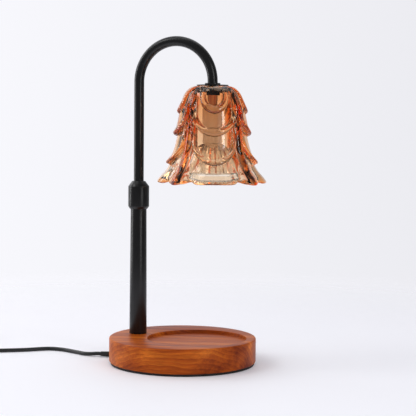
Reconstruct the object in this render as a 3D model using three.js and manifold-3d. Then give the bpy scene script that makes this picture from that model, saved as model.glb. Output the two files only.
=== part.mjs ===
// Candle warmer lamp: a round wooden base, a black column, a height-adjustable swing arm with a
// tiered amber glass shade round a reflector bulb, and a mains lead with an inline dimmer.
// Millimetres, +Z up. The origin is the centre of the base's underside, and +X runs from the
// column to the shade.
import * as THREE from "three";
import { mergeVertices } from "three/addons/utils/BufferGeometryUtils.js";
import Module from "manifold-3d";

const wasm = await Module();
wasm.setup();

// Clearances
const seat_gap = 0.2; // between fixed pieces that rest on each other
const running_gap = 0.3; // between a piece that turns or slides and its guide
const cut_overrun = 2; // how far a cutter runs past the face that it opens

// Counts of facets
const large_sides = 64;
const middle_sides = 32;
const small_sides = 20;
const tube_sides = 16;
const cord_sides = 8;
const arch_steps = 20;
const corner_steps = 4;

// Base
const base_diameter = 150;
const base_height = 27;
const base_edge_radius = 1.6;
const pad_thickness = 2;
const pad_inset = 1.5;
const recess_diameter = 101;
const recess_depth = 3.5;
const recess_front_margin = 8.5;
const column_edge_distance = 24;
const nut_pocket_diameter = 26;
const nut_pocket_depth = 15.8;

// Threaded fixing of the column
const stud_diameter = 10;
const stud_bore = 6.4;
const stud_thread_in_foot = 14;
const washer_diameter = 20;
const washer_thickness = 1.2;
const nut_across_flats = 17;
const nut_height = 6;
const foot_height = 15;

// Column
const column_foot_diameter = 18;
const column_head_diameter = 16.3;
const column_bore = 14;
const column_hidden_in_collar = 6;
const head_spigot_length = 12;
const head_body_diameter = 16.2;
const head_body_length = 13;

// Clamp collar
const collar_level = 156.4;
const collar_length = 28.8;
const collar_diameter = 21.6;
const collar_skirt_diameter = 17.8;
const collar_skirt_length = 2.8;
const collar_nose_diameter = 13.5;
const collar_nose_length = 5.4;
const collar_nose_rim = 2.2;
const collet_straight_length = 2.7;
const collet_tip_wall = 0.9;
const collet_slot_width = 1.2;

// Arm
const arm_tube_diameter = 10.2;
const arm_tube_wall = 1.2;
const arm_insertion = 80;
const arch_radius = 41;
const arch_crown_height = 332.9;
const arm_end_straight = 1.2;
const stop_ring_height = 2.4;
const stop_ring_diameter = 12.6;
const glide_bush_height = 10;
const lead_diameter = 3;
const lead_bend_radius = 7;
const lead_end_setback = 2;

// Shade fittings
const spigot_length = 3;
const fitting_bore = 4;
const flange_diameter = 15.6;
const flange_thickness = 1.6;
const stem_diameter = 10;
const plate_diameter = 32;
const plate_thickness = 0.6;
const gasket_diameter = 31.6;
const gasket_thickness = 0.4;
const sleeve_diameter = 14.7;
const sleeve_head_diameter = 27.2;
const sleeve_length = 10.5;
const shade_ring_diameter = 31.6;
const shade_ring_height = 2;
const stem_below_sleeve = 11.1;
const holder_diameter = 20;
const holder_height = 22;

// Glass shade
const shade_height = 96.7;
const shade_rim_radius = 54.9;
const shade_neck_radius = 16.5;
const shade_hole_clearance = 0.4;
const shade_wall = 4.5;
const shade_turn_degrees = 27;
const column_count = 4; // columns of scales round the shade, with a rib between each two
const scale_edge_width = 4;
const scale_bead_width = 6.5;
const scale_bead_height = 2.2;
const scales = [
  { half_width: 12.6, curve: 16, lift: 1.1, start_share: 0.5, lean_power: 1.5 },
  { half_width: 20.8, curve: 24, lift: 3, start_share: 0.3, lean_power: 1.5 },
  { half_width: 21, curve: 21, lift: 3.2, start_share: 0.25, lean_power: 2 },
];
const scale_bottom_shares = [0.2844, 0.516, 0.8087]; // of the shade's height
const rib_height = 3.2;
const rib_half_width = 5.6;
const rib_start_drop = 7;
const rib_rise_length = 14;
const rib_tip_drop = 0.8;
const rim_notch_depth = 5.4;
const rim_notch_half_width = 5;
const rim_notch_lift = 2.2;
const rim_notch_degrees = 28.5;
const rim_flare_height = 24;
const rim_edge = 1;
const inner_notch_share = 0.85;
const shade_rings = 40;
const shade_inner_rings = 9;
// The bell under the scales, from its top edge to its rim: levels as shares of the height, radii
// as shares of the way from the neck to the rim.
const bell_level_shares = [0, 0.012, 0.031, 0.062, 0.103, 0.165, 0.27, 0.39, 0.52, 0.64, 0.72,
  0.8, 0.87, 0.92, 0.962, 0.985];
const bell_radius_shares = [0, 0.073, 0.143, 0.211, 0.263, 0.305, 0.352, 0.393, 0.438, 0.497,
  0.565, 0.67, 0.773, 0.888, 0.971, 1];

// Reflector bulb
const bulb_diameter = 50;
const bulb_reflector_height = 30;
const bulb_glass_wall = 1.6;
const bulb_base_diameter = 19;
const bulb_base_height = 15;
const bulb_pin_diameter = 5;
const bulb_pin_length = 7;
const bulb_pin_spacing = 10;
const bulb_lens_thickness = 1.8;
const capsule_diameter = 9;
const capsule_length = 20;

// Mains lead, with its route's levels taken from the cord's own size
const cord_diameter = 4;
const boot_height = 3.2;
const boot_diameter = 6;
const boot_tip_diameter = 5;
const boot_inside_length = 14;
const boot_outside_length = 16;
const boot_flange_width = 10;
const boot_flange_thickness = 2;
const boot_flange_inset = 9;
const exit_turn_degrees = 10;
const lay_level = 2.1;

// Inline dimmer
const dimmer_length = 56;
const dimmer_width = 26;
const dimmer_height = 16;
const dimmer_corner_radius = 9;
const dimmer_edge = 2.2;
const dimmer_wall = 1.8;
const dimmer_parting_height = 7.5;
const dimmer_neck_diameter = 8;
const dimmer_neck_length = 5;
const dimmer_start = [-226, -44];
const wheel_diameter = 16;
const wheel_thickness = 4.6;
const wheel_proud = 2.4;
const wheel_axle_diameter = 3;
const wheel_ridge_count = 24;
const wheel_ridge_height = 0.5;
const board_length = 40;
const board_width = 17;
const board_thickness = 1.6;
const board_level = 1.9;
const potentiometer_width = 4.2;
const potentiometer_length = 9;
const dimmer_screw_diameter = 2.4;
const dimmer_screw_head_diameter = 4.6;
const dimmer_screw_head_height = 1.4;
const dimmer_screw_length = 10;
const dimmer_post_diameter = 5.2;
const dimmer_screw_end_margin = 7;

// Coil of the put-away lead
const coil_inner_radius = 16.6;
const coil_pitch = 4.9;
const coil_layer_rise = 4.6;
const coil_dip = 0.6;
const coil_turns_in = 3.5;
const coil_turns_out = 3.5;
const coil_centre = [-292, 24];
const coil_loop_steps = 24;
const coil_sides = 6;

// Plug
const plug_width = 35.3;
const plug_thickness = 13.7;
const plug_length = 33;
const plug_rear_width = 12;
const plug_front_length = 11;
const plug_edge = 2;
const plug_boot_length = 12;
const plug_boot_diameter = 9;
const plug_boot_tip_diameter = 6;
const plug_pin_diameter = 4;
const plug_pin_length = 19;
const plug_pin_spacing = 18.6;
const plug_lead_length = 18;

// Places worked out from the sizes above
const column_setback = base_diameter / 2 - column_edge_distance;
const column_x = -column_setback;
const recess_radius = recess_diameter / 2;
const recess_x = base_diameter / 2 - recess_front_margin - recess_radius;
const wood_bottom = pad_thickness + seat_gap;
const column_bottom = base_height + seat_gap;
const column_top = collar_level + column_hidden_in_collar;
const collar_top = collar_level + collar_length;
const collar_bore = column_head_diameter + 2 * running_gap;
const head_body_top = column_top + seat_gap + head_body_length;
const guide_bore = arm_tube_diameter + 2 * running_gap;
const arm_bottom = collar_top - arm_insertion;
const arch_level = arch_crown_height - arm_tube_diameter / 2 - arch_radius;
const shade_x = column_x + 2 * arch_radius;
const arm_end_level = arch_level - arm_end_straight;
const flange_top = arm_end_level - seat_gap;
const plate_top = flange_top - flange_thickness - seat_gap;
const gasket_top = plate_top - plate_thickness - seat_gap;
const shade_top = gasket_top - gasket_thickness - seat_gap;
const sleeve_top = gasket_top;
const sleeve_bottom = sleeve_top - sleeve_length;
const shade_ceiling = shade_top - shade_wall;
const stem_bottom = sleeve_bottom - stem_below_sleeve;
const holder_top = stem_bottom - seat_gap;
const holder_bottom = holder_top - holder_height;
const bulb_top = holder_bottom - seat_gap;
const bulb_neck = bulb_top - bulb_base_height;
const reflector_top = bulb_neck - seat_gap;
const reflector_bottom = reflector_top - bulb_reflector_height;
const exit_turn = THREE.MathUtils.degToRad(exit_turn_degrees);
const exit_reach = Math.sqrt((base_diameter / 2) ** 2 - (column_setback * Math.sin(exit_turn)) ** 2)
  - column_setback * Math.cos(exit_turn);

// Turns a closed geometry into a solid that can be joined and cut.
function solidOf(geometry) {
  const bare = geometry.index ? geometry.toNonIndexed() : geometry.clone();
  bare.deleteAttribute("normal");
  bare.deleteAttribute("uv");
  const merged = mergeVertices(bare, 1e-4);
  return new wasm.Manifold(
    new wasm.Mesh({
      numProp: 3,
      vertProperties: merged.attributes.position.array,
      triVerts: new Uint32Array(merged.index.array),
    }),
  );
}

// Turns a solid back into a geometry.
function geometryOf(solid) {
  const mesh = solid.getMesh();
  const geometry = new THREE.BufferGeometry();
  geometry.setAttribute("position", new THREE.BufferAttribute(mesh.vertProperties, mesh.numProp));
  geometry.setIndex(new THREE.BufferAttribute(mesh.triVerts, 1));
  return geometry.toNonIndexed();
}

// Revolves a profile of [radius, level] points about Z. The points run up the outside.
function turned(points, sides = middle_sides) {
  const profile = points.map(([radius, level]) => new THREE.Vector2(radius, level));
  return new THREE.LatheGeometry(profile, sides).rotateX(Math.PI / 2);
}

// A plain disc or rod standing between two levels.
function rod(diameter, bottom, top, sides = middle_sides) {
  const radius = diameter / 2;
  return turned([[0, bottom], [radius, bottom], [radius, top], [0, top]], sides);
}

// A ring, closed on itself, between two levels.
function ring(outer, inner, bottom, top, sides = middle_sides) {
  const [out, bore] = [outer / 2, inner / 2];
  return turned([[bore, bottom], [out, bottom], [out, top], [bore, top], [bore, bottom]], sides);
}

// A box given by its lowest and highest corners.
function block(low, high) {
  const size = high.map((value, axis) => value - low[axis]);
  const centre = high.map((value, axis) => (value + low[axis]) / 2);
  return new THREE.BoxGeometry(...size).translate(...centre);
}

// Lays a piece that stands along Z along X instead, with its level zero at x.
function laidAlongX(geometry, x, y, z) {
  return geometry.rotateY(Math.PI / 2).translate(x, y, z);
}

// A path that keeps one point and one tangent for each of its steps, which may be uneven.
class SteppedPath extends THREE.Curve {
  constructor(points, tangents) {
    super();
    this.points = points;
    this.tangents = tangents;
  }

  getPoint(share) {
    return this.points[Math.round(share * (this.points.length - 1))].clone();
  }

  getPointAt(share) {
    return this.getPoint(share);
  }

  getTangentAt(share) {
    return this.tangents[Math.round(share * (this.tangents.length - 1))].clone();
  }
}

// A round bar or tube swept along a path.
function swept(path, steps, diameter, sides, bore = 0) {
  const section = new THREE.Shape().absarc(0, 0, diameter / 2, 0, 2 * Math.PI);
  if (bore) section.holes.push(new THREE.Path().absarc(0, 0, bore / 2, 0, 2 * Math.PI, true));
  return new THREE.ExtrudeGeometry(section, {
    steps,
    curveSegments: sides / 2, // a full circle takes two of its segments for each one asked for
    extrudePath: path,
    bevelEnabled: false,
  });
}

// The stepped path through points, with the tangents measured between neighbours.
function pathThrough(points) {
  const tangents = points.map((point, i) => {
    const before = points[Math.max(i - 1, 0)];
    const after = points[Math.min(i + 1, points.length - 1)];
    return after.clone().sub(before).normalize();
  });
  return new SteppedPath(points, tangents);
}

const lamp = new THREE.Group();

// Adds a named mesh to the lamp, or to a group inside it.
function add(name, geometry, finish, group = lamp) {
  const mesh = new THREE.Mesh(geometry, new THREE.MeshStandardMaterial(finish));
  mesh.name = name;
  group.add(mesh);
  return mesh;
}

// Finishes
const wood = { color: 0xb5622f, roughness: 0.5, metalness: 0 };
const black_paint = { color: 0x1c1c1d, roughness: 0.38, metalness: 0.3 };
const rubber = { color: 0x151515, roughness: 0.8, metalness: 0 };
const zinc = { color: 0xb9bcc0, roughness: 0.35, metalness: 1 };
const brass = { color: 0xc9a04f, roughness: 0.3, metalness: 1 };
const nylon = { color: 0xe9e6dc, roughness: 0.5, metalness: 0 };
const amber_glass = { color: 0xc8733a, roughness: 0.05, metalness: 0 };
const clear_glass = { color: 0xeef2f4, roughness: 0.05, metalness: 0 };
const mirror_coat = { color: 0xd9d6cf, roughness: 0.1, metalness: 1 };
const ceramic = { color: 0xe6dcc8, roughness: 0.35, metalness: 0 };
const black_plastic = { color: 0x19191a, roughness: 0.45, metalness: 0 };
const cord_jacket = { color: 0x141414, roughness: 0.55, metalness: 0 };
const board_green = { color: 0x2f6a46, roughness: 0.6, metalness: 0 };
const insulation = { color: 0x8a4b2a, roughness: 0.6, metalness: 0 };

// The wooden disc, with its candle recess, the column's hole and pocket, and the cord channel.
function baseBlock() {
  const radius = base_diameter / 2;
  const edge = [];
  for (let i = 0; i <= corner_steps; i++) {
    const angle = (i / corner_steps) * (Math.PI / 2);
    const inset = base_edge_radius * (1 - Math.cos(angle));
    edge.push([radius - inset, base_height - base_edge_radius * (1 - Math.sin(angle))]);
  }
  const bottom_edge = base_edge_radius / 2;
  let disc = solidOf(turned([
    [0, wood_bottom],
    [radius - bottom_edge, wood_bottom],
    [radius, wood_bottom + bottom_edge],
    ...edge,
    [0, base_height],
  ], large_sides));
  const recess = rod(recess_diameter, base_height - recess_depth, base_height + cut_overrun,
    large_sides);
  const hole = rod(stud_diameter + 2 * seat_gap, 0, base_height + cut_overrun, small_sides);
  const pocket = rod(nut_pocket_diameter, 0, wood_bottom + nut_pocket_depth);
  disc = disc.subtract(solidOf(recess.translate(recess_x, 0, 0)));
  disc = disc.subtract(solidOf(hole.translate(column_x, 0, 0)));
  disc = disc.subtract(solidOf(pocket.translate(column_x, 0, 0)));
  for (const cut of cordChannel()) disc = disc.subtract(cut);
  return geometryOf(disc);
}

// Places a piece built along -X from the column's axis on the line where the cord leaves.
function placedAtExit(geometry) {
  return geometry.rotateZ(exit_turn).translate(column_x, 0, 0);
}

// The cutters of the cord channel: a slot for the boot, and a wider one for the boot's flange.
function cordChannel() {
  const half = boot_diameter / 2 + seat_gap;
  const flange_half = boot_flange_width / 2 + seat_gap;
  const roof = boot_height + boot_diameter / 2 + seat_gap;
  const flange_x = boot_flange_inset - exit_reach;
  const slot = block([-exit_reach - cut_overrun, -half, -cut_overrun], [0, half, roof]);
  const wide = block([flange_x - seat_gap, -flange_half, -cut_overrun],
    [flange_x + boot_flange_thickness + seat_gap, flange_half, roof]);
  return [slot, wide].map((cutter) => solidOf(placedAtExit(cutter)));
}

// The rubber pad under the wood, notched where the cord leaves.
function basePad() {
  let pad = solidOf(rod(base_diameter - 2 * pad_inset, 0, pad_thickness, large_sides));
  for (const cut of cordChannel()) pad = pad.subtract(cut);
  return geometryOf(pad);
}

// The hexagonal nut under the wood.
function hexNut(bottom) {
  const corner = nut_across_flats / Math.cos(Math.PI / 6);
  const nut = solidOf(rod(corner, bottom, bottom + nut_height, 6));
  const bore = stud_diameter + 2 * seat_gap;
  const hole = solidOf(rod(bore, bottom - cut_overrun, bottom + nut_height + cut_overrun,
    small_sides));
  return geometryOf(nut.subtract(hole));
}

// Everything that stands still: base, column and what fixes them.
function addStand() {
  const pocket_roof = wood_bottom + nut_pocket_depth;
  const washer_top = pocket_roof - seat_gap;
  const nut_bottom = washer_top - washer_thickness - seat_gap - nut_height;
  const stud_bottom = nut_bottom - stud_bore / 8;
  const stud_top = column_bottom + stud_thread_in_foot;
  const thread_bore = stud_diameter + 2 * seat_gap;
  add("base_pad", basePad(), rubber);
  add("base_block", baseBlock(), wood);
  const column = new THREE.Group();
  column.position.x = column_x;
  lamp.add(column);
  add("lock_washer", ring(washer_diameter, thread_bore, washer_top - washer_thickness,
    washer_top, small_sides), zinc, column);
  add("hex_nut", hexNut(nut_bottom), zinc, column);
  add("hollow_stud", ring(stud_diameter, stud_bore, stud_bottom, stud_top, small_sides), zinc,
    column);
  add("column_foot", ring(column_bore - 2 * seat_gap, thread_bore, column_bottom,
    column_bottom + foot_height, small_sides), zinc, column);
  add("lower_column", lowerColumn(), black_paint, column);
  add("column_head", columnHead(), brass, column);
}

// The tapered lower tube with a straight bore.
function lowerColumn() {
  const bore = column_bore / 2;
  const foot = column_foot_diameter / 2;
  const head = column_head_diameter / 2;
  return turned([
    [bore, column_bottom],
    [foot, column_bottom],
    [head, column_top],
    [bore, column_top],
    [bore, column_bottom],
  ]);
}

// The threaded bush in the column's top, which guides the arm and carries the clamp collar.
function columnHead() {
  const bore = guide_bore / 2;
  const spigot = column_bore / 2 - seat_gap;
  const body = head_body_diameter / 2;
  const spigot_bottom = column_top - head_spigot_length;
  const shoulder = column_top + seat_gap;
  return turned([
    [bore, spigot_bottom],
    [spigot, spigot_bottom],
    [spigot, shoulder],
    [body, shoulder],
    [body, head_body_top],
    [bore, head_body_top],
    [bore, spigot_bottom],
  ], small_sides);
}

// The level at which the collar's bore starts to close in, and its narrowest radius.
const collet_bottom = head_body_top + seat_gap;
const collet_shoulder = collet_bottom + collet_straight_length;
const collet_top = collar_top - collar_nose_rim - seat_gap;
const collet_radius = collar_bore / 2 - running_gap;
const collet_tip_radius = guide_bore / 2 + collet_tip_wall;

// The split nylon collet that grips the arm tube when the collar is screwed down.
function gripCollet() {
  const bore = guide_bore / 2;
  const cone = solidOf(turned([
    [bore, collet_bottom],
    [collet_radius, collet_bottom],
    [collet_radius, collet_shoulder],
    [collet_tip_radius, collet_top],
    [bore, collet_top],
    [bore, collet_bottom],
  ]));
  const slot = block([0, -collet_slot_width / 2, collet_bottom - cut_overrun],
    [collet_radius + cut_overrun, collet_slot_width / 2, collet_top + cut_overrun]);
  return geometryOf(cone.subtract(solidOf(slot)));
}

// The clamp collar: a straight body with a conical nose and a short chamfered skirt.
function clampCollar() {
  const bore = collar_bore / 2;
  const skirt = collar_skirt_diameter / 2;
  const body = collar_diameter / 2;
  const nose = collar_nose_diameter / 2;
  const throat = guide_bore / 2;
  return turned([
    [bore, collar_level],
    [skirt, collar_level],
    [body, collar_level + collar_skirt_length],
    [body, collar_top - collar_nose_length],
    [nose, collar_top],
    [throat, collar_top],
    [throat, collar_top - collar_nose_rim],
    [collet_tip_radius + running_gap, collar_top - collar_nose_rim],
    [bore, collet_shoulder],
    [bore, collar_level],
  ]);
}

// The arm's centre line: up the column, over the arch and a little way down to the shade. The
// lower end can be held back, for what runs inside the tube.
function armPath(bottom, end) {
  const centre = new THREE.Vector3(arch_radius, 0, arch_level);
  const up = new THREE.Vector3(0, 0, 1);
  const points = [new THREE.Vector3(0, 0, bottom)];
  const tangents = [up.clone()];
  for (let i = 0; i <= arch_steps; i++) {
    const angle = (i / arch_steps) * Math.PI;
    const spoke = new THREE.Vector3(-Math.cos(angle), 0, Math.sin(angle));
    points.push(spoke.clone().multiplyScalar(arch_radius).add(centre));
    tangents.push(new THREE.Vector3(Math.sin(angle), 0, Math.cos(angle)));
  }
  points.push(new THREE.Vector3(2 * arch_radius, 0, end));
  tangents.push(up.clone().negate());
  return new SteppedPath(points, tangents);
}

// The arm tube, the bush that guides its lower end, the rings that hold the bush, and its lead.
function addArm() {
  const column = new THREE.Group();
  column.position.x = column_x;
  lamp.add(column);
  const steps = arch_steps + 2;
  const tube_bore = arm_tube_diameter - 2 * arm_tube_wall;
  const lower_ring_bottom = arm_bottom + seat_gap;
  const bush_bottom = lower_ring_bottom + stop_ring_height + running_gap;
  const upper_ring_bottom = bush_bottom + glide_bush_height + running_gap;
  const ring_bore = arm_tube_diameter + 2 * seat_gap;
  const tube = swept(armPath(arm_bottom, arm_end_level), steps, arm_tube_diameter, tube_sides,
    tube_bore);
  add("arm_tube", tube, black_paint, column);
  add("arm_ring_lower", ring(stop_ring_diameter, ring_bore, lower_ring_bottom,
    lower_ring_bottom + stop_ring_height, small_sides), zinc, column);
  add("glide_bush", ring(column_bore - 2 * running_gap, guide_bore, bush_bottom,
    bush_bottom + glide_bush_height, small_sides), nylon, column);
  add("arm_ring_upper", ring(stop_ring_diameter, ring_bore, upper_ring_bottom,
    upper_ring_bottom + stop_ring_height, small_sides), zinc, column);
  const lead = swept(armPath(arm_bottom + lead_end_setback, holder_top + seat_gap), steps,
    lead_diameter, cord_sides);
  add("arm_lead", lead, insulation, column);
  add("grip_collet", gripCollet(), nylon, column);
  add("clamp_collar", clampCollar(), black_paint, column);
}

// The hollow fitting at the arm's end: a spigot in the tube, a flange and a threaded stem.
function endFitting() {
  const bore = fitting_bore / 2;
  const spigot = arm_tube_diameter / 2 - arm_tube_wall - seat_gap;
  const flange = flange_diameter / 2;
  const stem = stem_diameter / 2;
  const flange_bottom = flange_top - flange_thickness;
  return turned([
    [bore, stem_bottom],
    [stem, stem_bottom],
    [stem, flange_bottom],
    [flange, flange_bottom],
    [flange, flange_top],
    [spigot, flange_top],
    [spigot, flange_top + spigot_length],
    [bore, flange_top + spigot_length],
    [bore, stem_bottom],
  ], small_sides);
}

// The ceramic bulb holder, with a blind hole for each pin.
function lampHolder() {
  let body = solidOf(rod(holder_diameter, holder_bottom, holder_top));
  for (const side of [-1, 1]) {
    const hole = rod(bulb_pin_diameter + 2 * running_gap, holder_bottom - cut_overrun,
      holder_bottom + bulb_pin_length + running_gap, small_sides);
    body = body.subtract(solidOf(hole.translate(0, (side * bulb_pin_spacing) / 2, 0)));
  }
  return geometryOf(body);
}

// The share of a rise that is reached part of the way along it, eased at both ends.
function eased(share) {
  const held = THREE.MathUtils.clamp(share, 0, 1);
  return held * held * (3 - 2 * held);
}

// The plain bell under the scales, as a smooth curve of radius against drop below the top.
const bell_curve = new THREE.SplineCurve(bell_level_shares.map((level, i) => new THREE.Vector2(
  shade_neck_radius + bell_radius_shares[i] * (shade_rim_radius - shade_neck_radius),
  level * shade_height,
)));

// How far inside one scale's U-shaped outline a point lies, in millimetres.
function insideScale(scale, sunk, across) {
  const reach = Math.hypot(across / scale.half_width, sunk);
  return (1 - reach) * Math.min(scale.half_width, scale.curve);
}

// How far the scales stand out from the bell at a place on a column of scales. The three
// scales overlap like shingles, so each adds to what lies under it. Each has a bead that runs
// along its rounded edge and widens towards its tip.
function scaleHeight(across, drop) {
  let height = 0;
  scales.forEach((scale, i) => {
    const bottom = scale_bottom_shares[i] * shade_height;
    const sunk = Math.max(drop - (bottom - scale.curve), 0) / scale.curve;
    const inside = insideScale(scale, sunk, across);
    if (inside <= 0) return;
    const edge = 1 - Math.min(inside / scale_edge_width, 1);
    const bead_width = scale_bead_width * (1 + sunk / 2);
    const bead = Math.sin(Math.min(inside / bead_width, 1) * Math.PI) ** 2;
    const lean = Math.min(drop / (bottom - scale_edge_width), 1) ** scale.lean_power;
    const share = scale.start_share + (1 - scale.start_share) * lean;
    height += (scale.lift * Math.sqrt(1 - edge * edge) + scale_bead_height * bead) * share;
  });
  return height;
}

// The share of the rim's flare that is reached at a drop.
function flareShare(drop) {
  return eased((drop - (shade_height - rim_flare_height)) / rim_flare_height);
}

// The share of its full depth that a notch of the rim has at a place.
function notchShare(radius, drop, turn) {
  const notch_turn = THREE.MathUtils.degToRad(rim_notch_degrees);
  const from_notch = (radius * (Math.abs(turn) - notch_turn)) / rim_notch_half_width;
  return flareShare(drop) * Math.exp(-from_notch * from_notch);
}

// The radius and drop of the shade's outer face at a turn from the middle of a column of scales.
function shadeOuter(radius, drop, turn) {
  const folded = Math.abs(turn);
  const notch = notchShare(radius, drop, turn);
  const from_rib = (radius * (Math.PI / column_count - folded)) / rib_half_width;
  const crest = from_rib < 1 ? Math.cos((from_rib * Math.PI) / 2) : 0;
  const rib = rib_height * crest * eased((drop - rib_start_drop) / rib_rise_length);
  const out = scaleHeight(radius * Math.sin(folded), drop) + rib - rim_notch_depth * notch;
  return [radius + out, drop - rim_notch_lift * notch + rib_tip_drop * crest * flareShare(drop)];
}

// The radius and drop of the shade's smooth inner face, which follows the notches of the rim.
function shadeInner(radius, drop, turn) {
  const notch = notchShare(radius, drop, turn);
  return [radius - inner_notch_share * rim_notch_depth * notch, drop - rim_notch_lift * notch];
}

// The shade's section, up its inner face from the hole's edge at the top: each point's radius,
// its drop below the top, and the face that moves it. The inner face lies one wall inside the
// bell and ends level with the rim.
function shadeSection() {
  const hole = sleeve_head_diameter / 2 + shade_hole_clearance;
  const still = (radius, drop) => [radius, drop];
  const section = [[hole, 0, still], [hole, shade_wall, still]];
  for (let i = 0; i <= shade_inner_rings; i++) {
    const share = i / shade_inner_rings;
    const point = bell_curve.getPointAt(share);
    const tangent = bell_curve.getTangentAt(share);
    const drop = point.y + shade_wall * tangent.x;
    section.push([
      Math.max(point.x - shade_wall * tangent.y, hole + shade_wall / 2),
      THREE.MathUtils.clamp(drop, shade_wall, shade_height - rim_edge),
      shadeInner,
    ]);
  }
  section.push([shade_rim_radius - shade_wall / 2, shade_height, shadeInner]);
  for (let i = shade_rings; i >= 0; i--) {
    const point = bell_curve.getPointAt(i / shade_rings);
    section.push([point.x, point.y, shadeOuter]);
  }
  section.push(section[0]);
  return section;
}

// The pressed glass shade. The section is revolved, then each point of its outer face is moved
// out to the scales and ribs, or in to the notches of the rim.
function glassShade() {
  const section = shadeSection();
  const profile = section.map(([radius, drop]) => new THREE.Vector2(radius, -drop));
  const geometry = new THREE.LatheGeometry(profile, large_sides);
  const places = geometry.attributes.position;
  const spacing = (2 * Math.PI) / column_count;
  for (let side = 0; side <= large_sides; side++) {
    const around = (side / large_sides) * 2 * Math.PI;
    const turn = around - Math.round(around / spacing) * spacing;
    section.forEach(([radius, drop, moved], i) => {
      const [far, low] = moved(radius, drop, turn);
      places.setXYZ(side * section.length + i, far * Math.sin(around), -low,
        far * Math.cos(around));
    });
  }
  return geometry.rotateX(Math.PI / 2);
}

// The bulb's mirrored bowl, open at its mouth and at the hole for the capsule.
function bulbReflector() {
  const mouth = bulb_diameter / 2;
  const neck = bulb_base_diameter / 2;
  const hole = capsule_diameter / 2 + running_gap;
  const steps = 5;
  const outside = [];
  const inside = [];
  for (let i = 0; i <= steps; i++) {
    const share = i / steps;
    const level = reflector_top - share * bulb_reflector_height;
    outside.push([neck + (mouth - neck) * Math.sqrt(share), level]);
    const inner_level = Math.min(level, reflector_top - bulb_glass_wall);
    inside.push([Math.max(neck + (mouth - neck) * Math.sqrt(share) - bulb_glass_wall, hole),
      inner_level]);
  }
  return turned([
    [hole, reflector_top],
    [hole, reflector_top - bulb_glass_wall],
    ...inside.slice(1),
    ...outside.reverse(),
    [hole, reflector_top],
  ]);
}

// The sleeve round the stem: a head that centres the glass's hole over a neck through the ring.
function holderSleeve(bore) {
  const neck = sleeve_diameter / 2;
  const head = sleeve_head_diameter / 2;
  const step = shade_ceiling + seat_gap;
  return turned([
    [bore / 2, sleeve_bottom],
    [neck, sleeve_bottom],
    [neck, step],
    [head, step],
    [head, sleeve_top],
    [bore / 2, sleeve_top],
    [bore / 2, sleeve_bottom],
  ]);
}

// The shade and the bulb, with what holds them at the arm's end.
function addShade() {
  const drop = new THREE.Group();
  drop.position.x = shade_x;
  lamp.add(drop);
  const stem_bore = stem_diameter + 2 * seat_gap;
  const gasket_bore = sleeve_head_diameter + 2 * seat_gap;
  const ring_bore = sleeve_diameter + 2 * seat_gap;
  const shade_ring_top = shade_ceiling - seat_gap;
  add("end_fitting", endFitting(), brass, drop);
  add("shade_plate", ring(plate_diameter, stem_bore, plate_top - plate_thickness, plate_top),
    black_paint, drop);
  add("shade_gasket", ring(gasket_diameter, gasket_bore, gasket_top - gasket_thickness,
    gasket_top), rubber, drop);
  const shade = new THREE.Group();
  shade.position.set(shade_x, 0, shade_top);
  shade.rotation.z = THREE.MathUtils.degToRad(shade_turn_degrees);
  lamp.add(shade);
  add("glass_shade", glassShade(), amber_glass, shade);
  add("holder_sleeve", holderSleeve(stem_bore), black_plastic, drop);
  add("shade_ring", ring(shade_ring_diameter, ring_bore, shade_ring_top - shade_ring_height,
    shade_ring_top), black_plastic, drop);
  add("lamp_holder", lampHolder(), ceramic, drop);
  addBulb(drop);
}

// The twin-pin reflector bulb.
function addBulb(drop) {
  add("bulb_base", rod(bulb_base_diameter, bulb_neck, bulb_top), ceramic, drop);
  for (const [name, side] of [["bulb_pin_1", -1], ["bulb_pin_2", 1]]) {
    const pin = rod(bulb_pin_diameter, bulb_top + seat_gap, bulb_top + bulb_pin_length,
      small_sides);
    add(name, pin.translate(0, (side * bulb_pin_spacing) / 2, 0), zinc, drop);
  }
  add("bulb_reflector", bulbReflector(), mirror_coat, drop);
  const lens_top = reflector_bottom - seat_gap;
  add("bulb_lens", rod(bulb_diameter - bulb_glass_wall, lens_top - bulb_lens_thickness,
    lens_top), clear_glass, drop);
  const capsule_top = reflector_top;
  const round = capsule_diameter / 2;
  add("bulb_capsule", turned([
    [0, capsule_top - capsule_length],
    [round / 2, capsule_top - capsule_length + round / 6],
    [round, capsule_top - capsule_length + round],
    [round, capsule_top],
    [0, capsule_top],
  ], small_sides), clear_glass, drop);
}

// The lead inside the base, from the boot's inner end up into the hollow stud.
function baseLead() {
  const boot_end = boot_inside_length - exit_reach;
  const top = column_bottom + foot_height;
  const start = new THREE.Vector3(boot_end + seat_gap, 0, boot_height);
  const bend = new THREE.Vector3(-lead_bend_radius, 0, boot_height + lead_bend_radius);
  const points = [start];
  const tangents = [new THREE.Vector3(1, 0, 0)];
  const bend_steps = 6;
  for (let i = 0; i <= bend_steps; i++) {
    const angle = ((i / bend_steps) * Math.PI) / 2;
    const spoke = new THREE.Vector3(Math.sin(angle), 0, -Math.cos(angle));
    points.push(spoke.multiplyScalar(lead_bend_radius).add(bend));
    tangents.push(new THREE.Vector3(Math.cos(angle), 0, Math.sin(angle)));
  }
  points.push(new THREE.Vector3(0, 0, top));
  tangents.push(new THREE.Vector3(0, 0, 1));
  const path = new SteppedPath(points, tangents);
  return placedAtExit(swept(path, points.length - 1, lead_diameter, cord_sides));
}

// The strain relief: a tapered rubber boot with a flange that the wood traps.
function strainBoot() {
  const length = boot_inside_length + boot_outside_length;
  const start = boot_diameter / 2;
  const tip = boot_tip_diameter / 2;
  const taper = solidOf(laidAlongX(turned([
    [0, 0],
    [tip, 0],
    [start, boot_outside_length],
    [start, length],
    [0, length],
  ], small_sides), -exit_reach - boot_outside_length, 0, boot_height));
  const flange_x = boot_flange_inset - exit_reach;
  const half_width = boot_flange_width / 2;
  const flange = solidOf(block([flange_x, -half_width, boot_height - start],
    [flange_x + boot_flange_thickness, half_width, boot_height + start]));
  return placedAtExit(geometryOf(taper.add(flange)));
}

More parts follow.
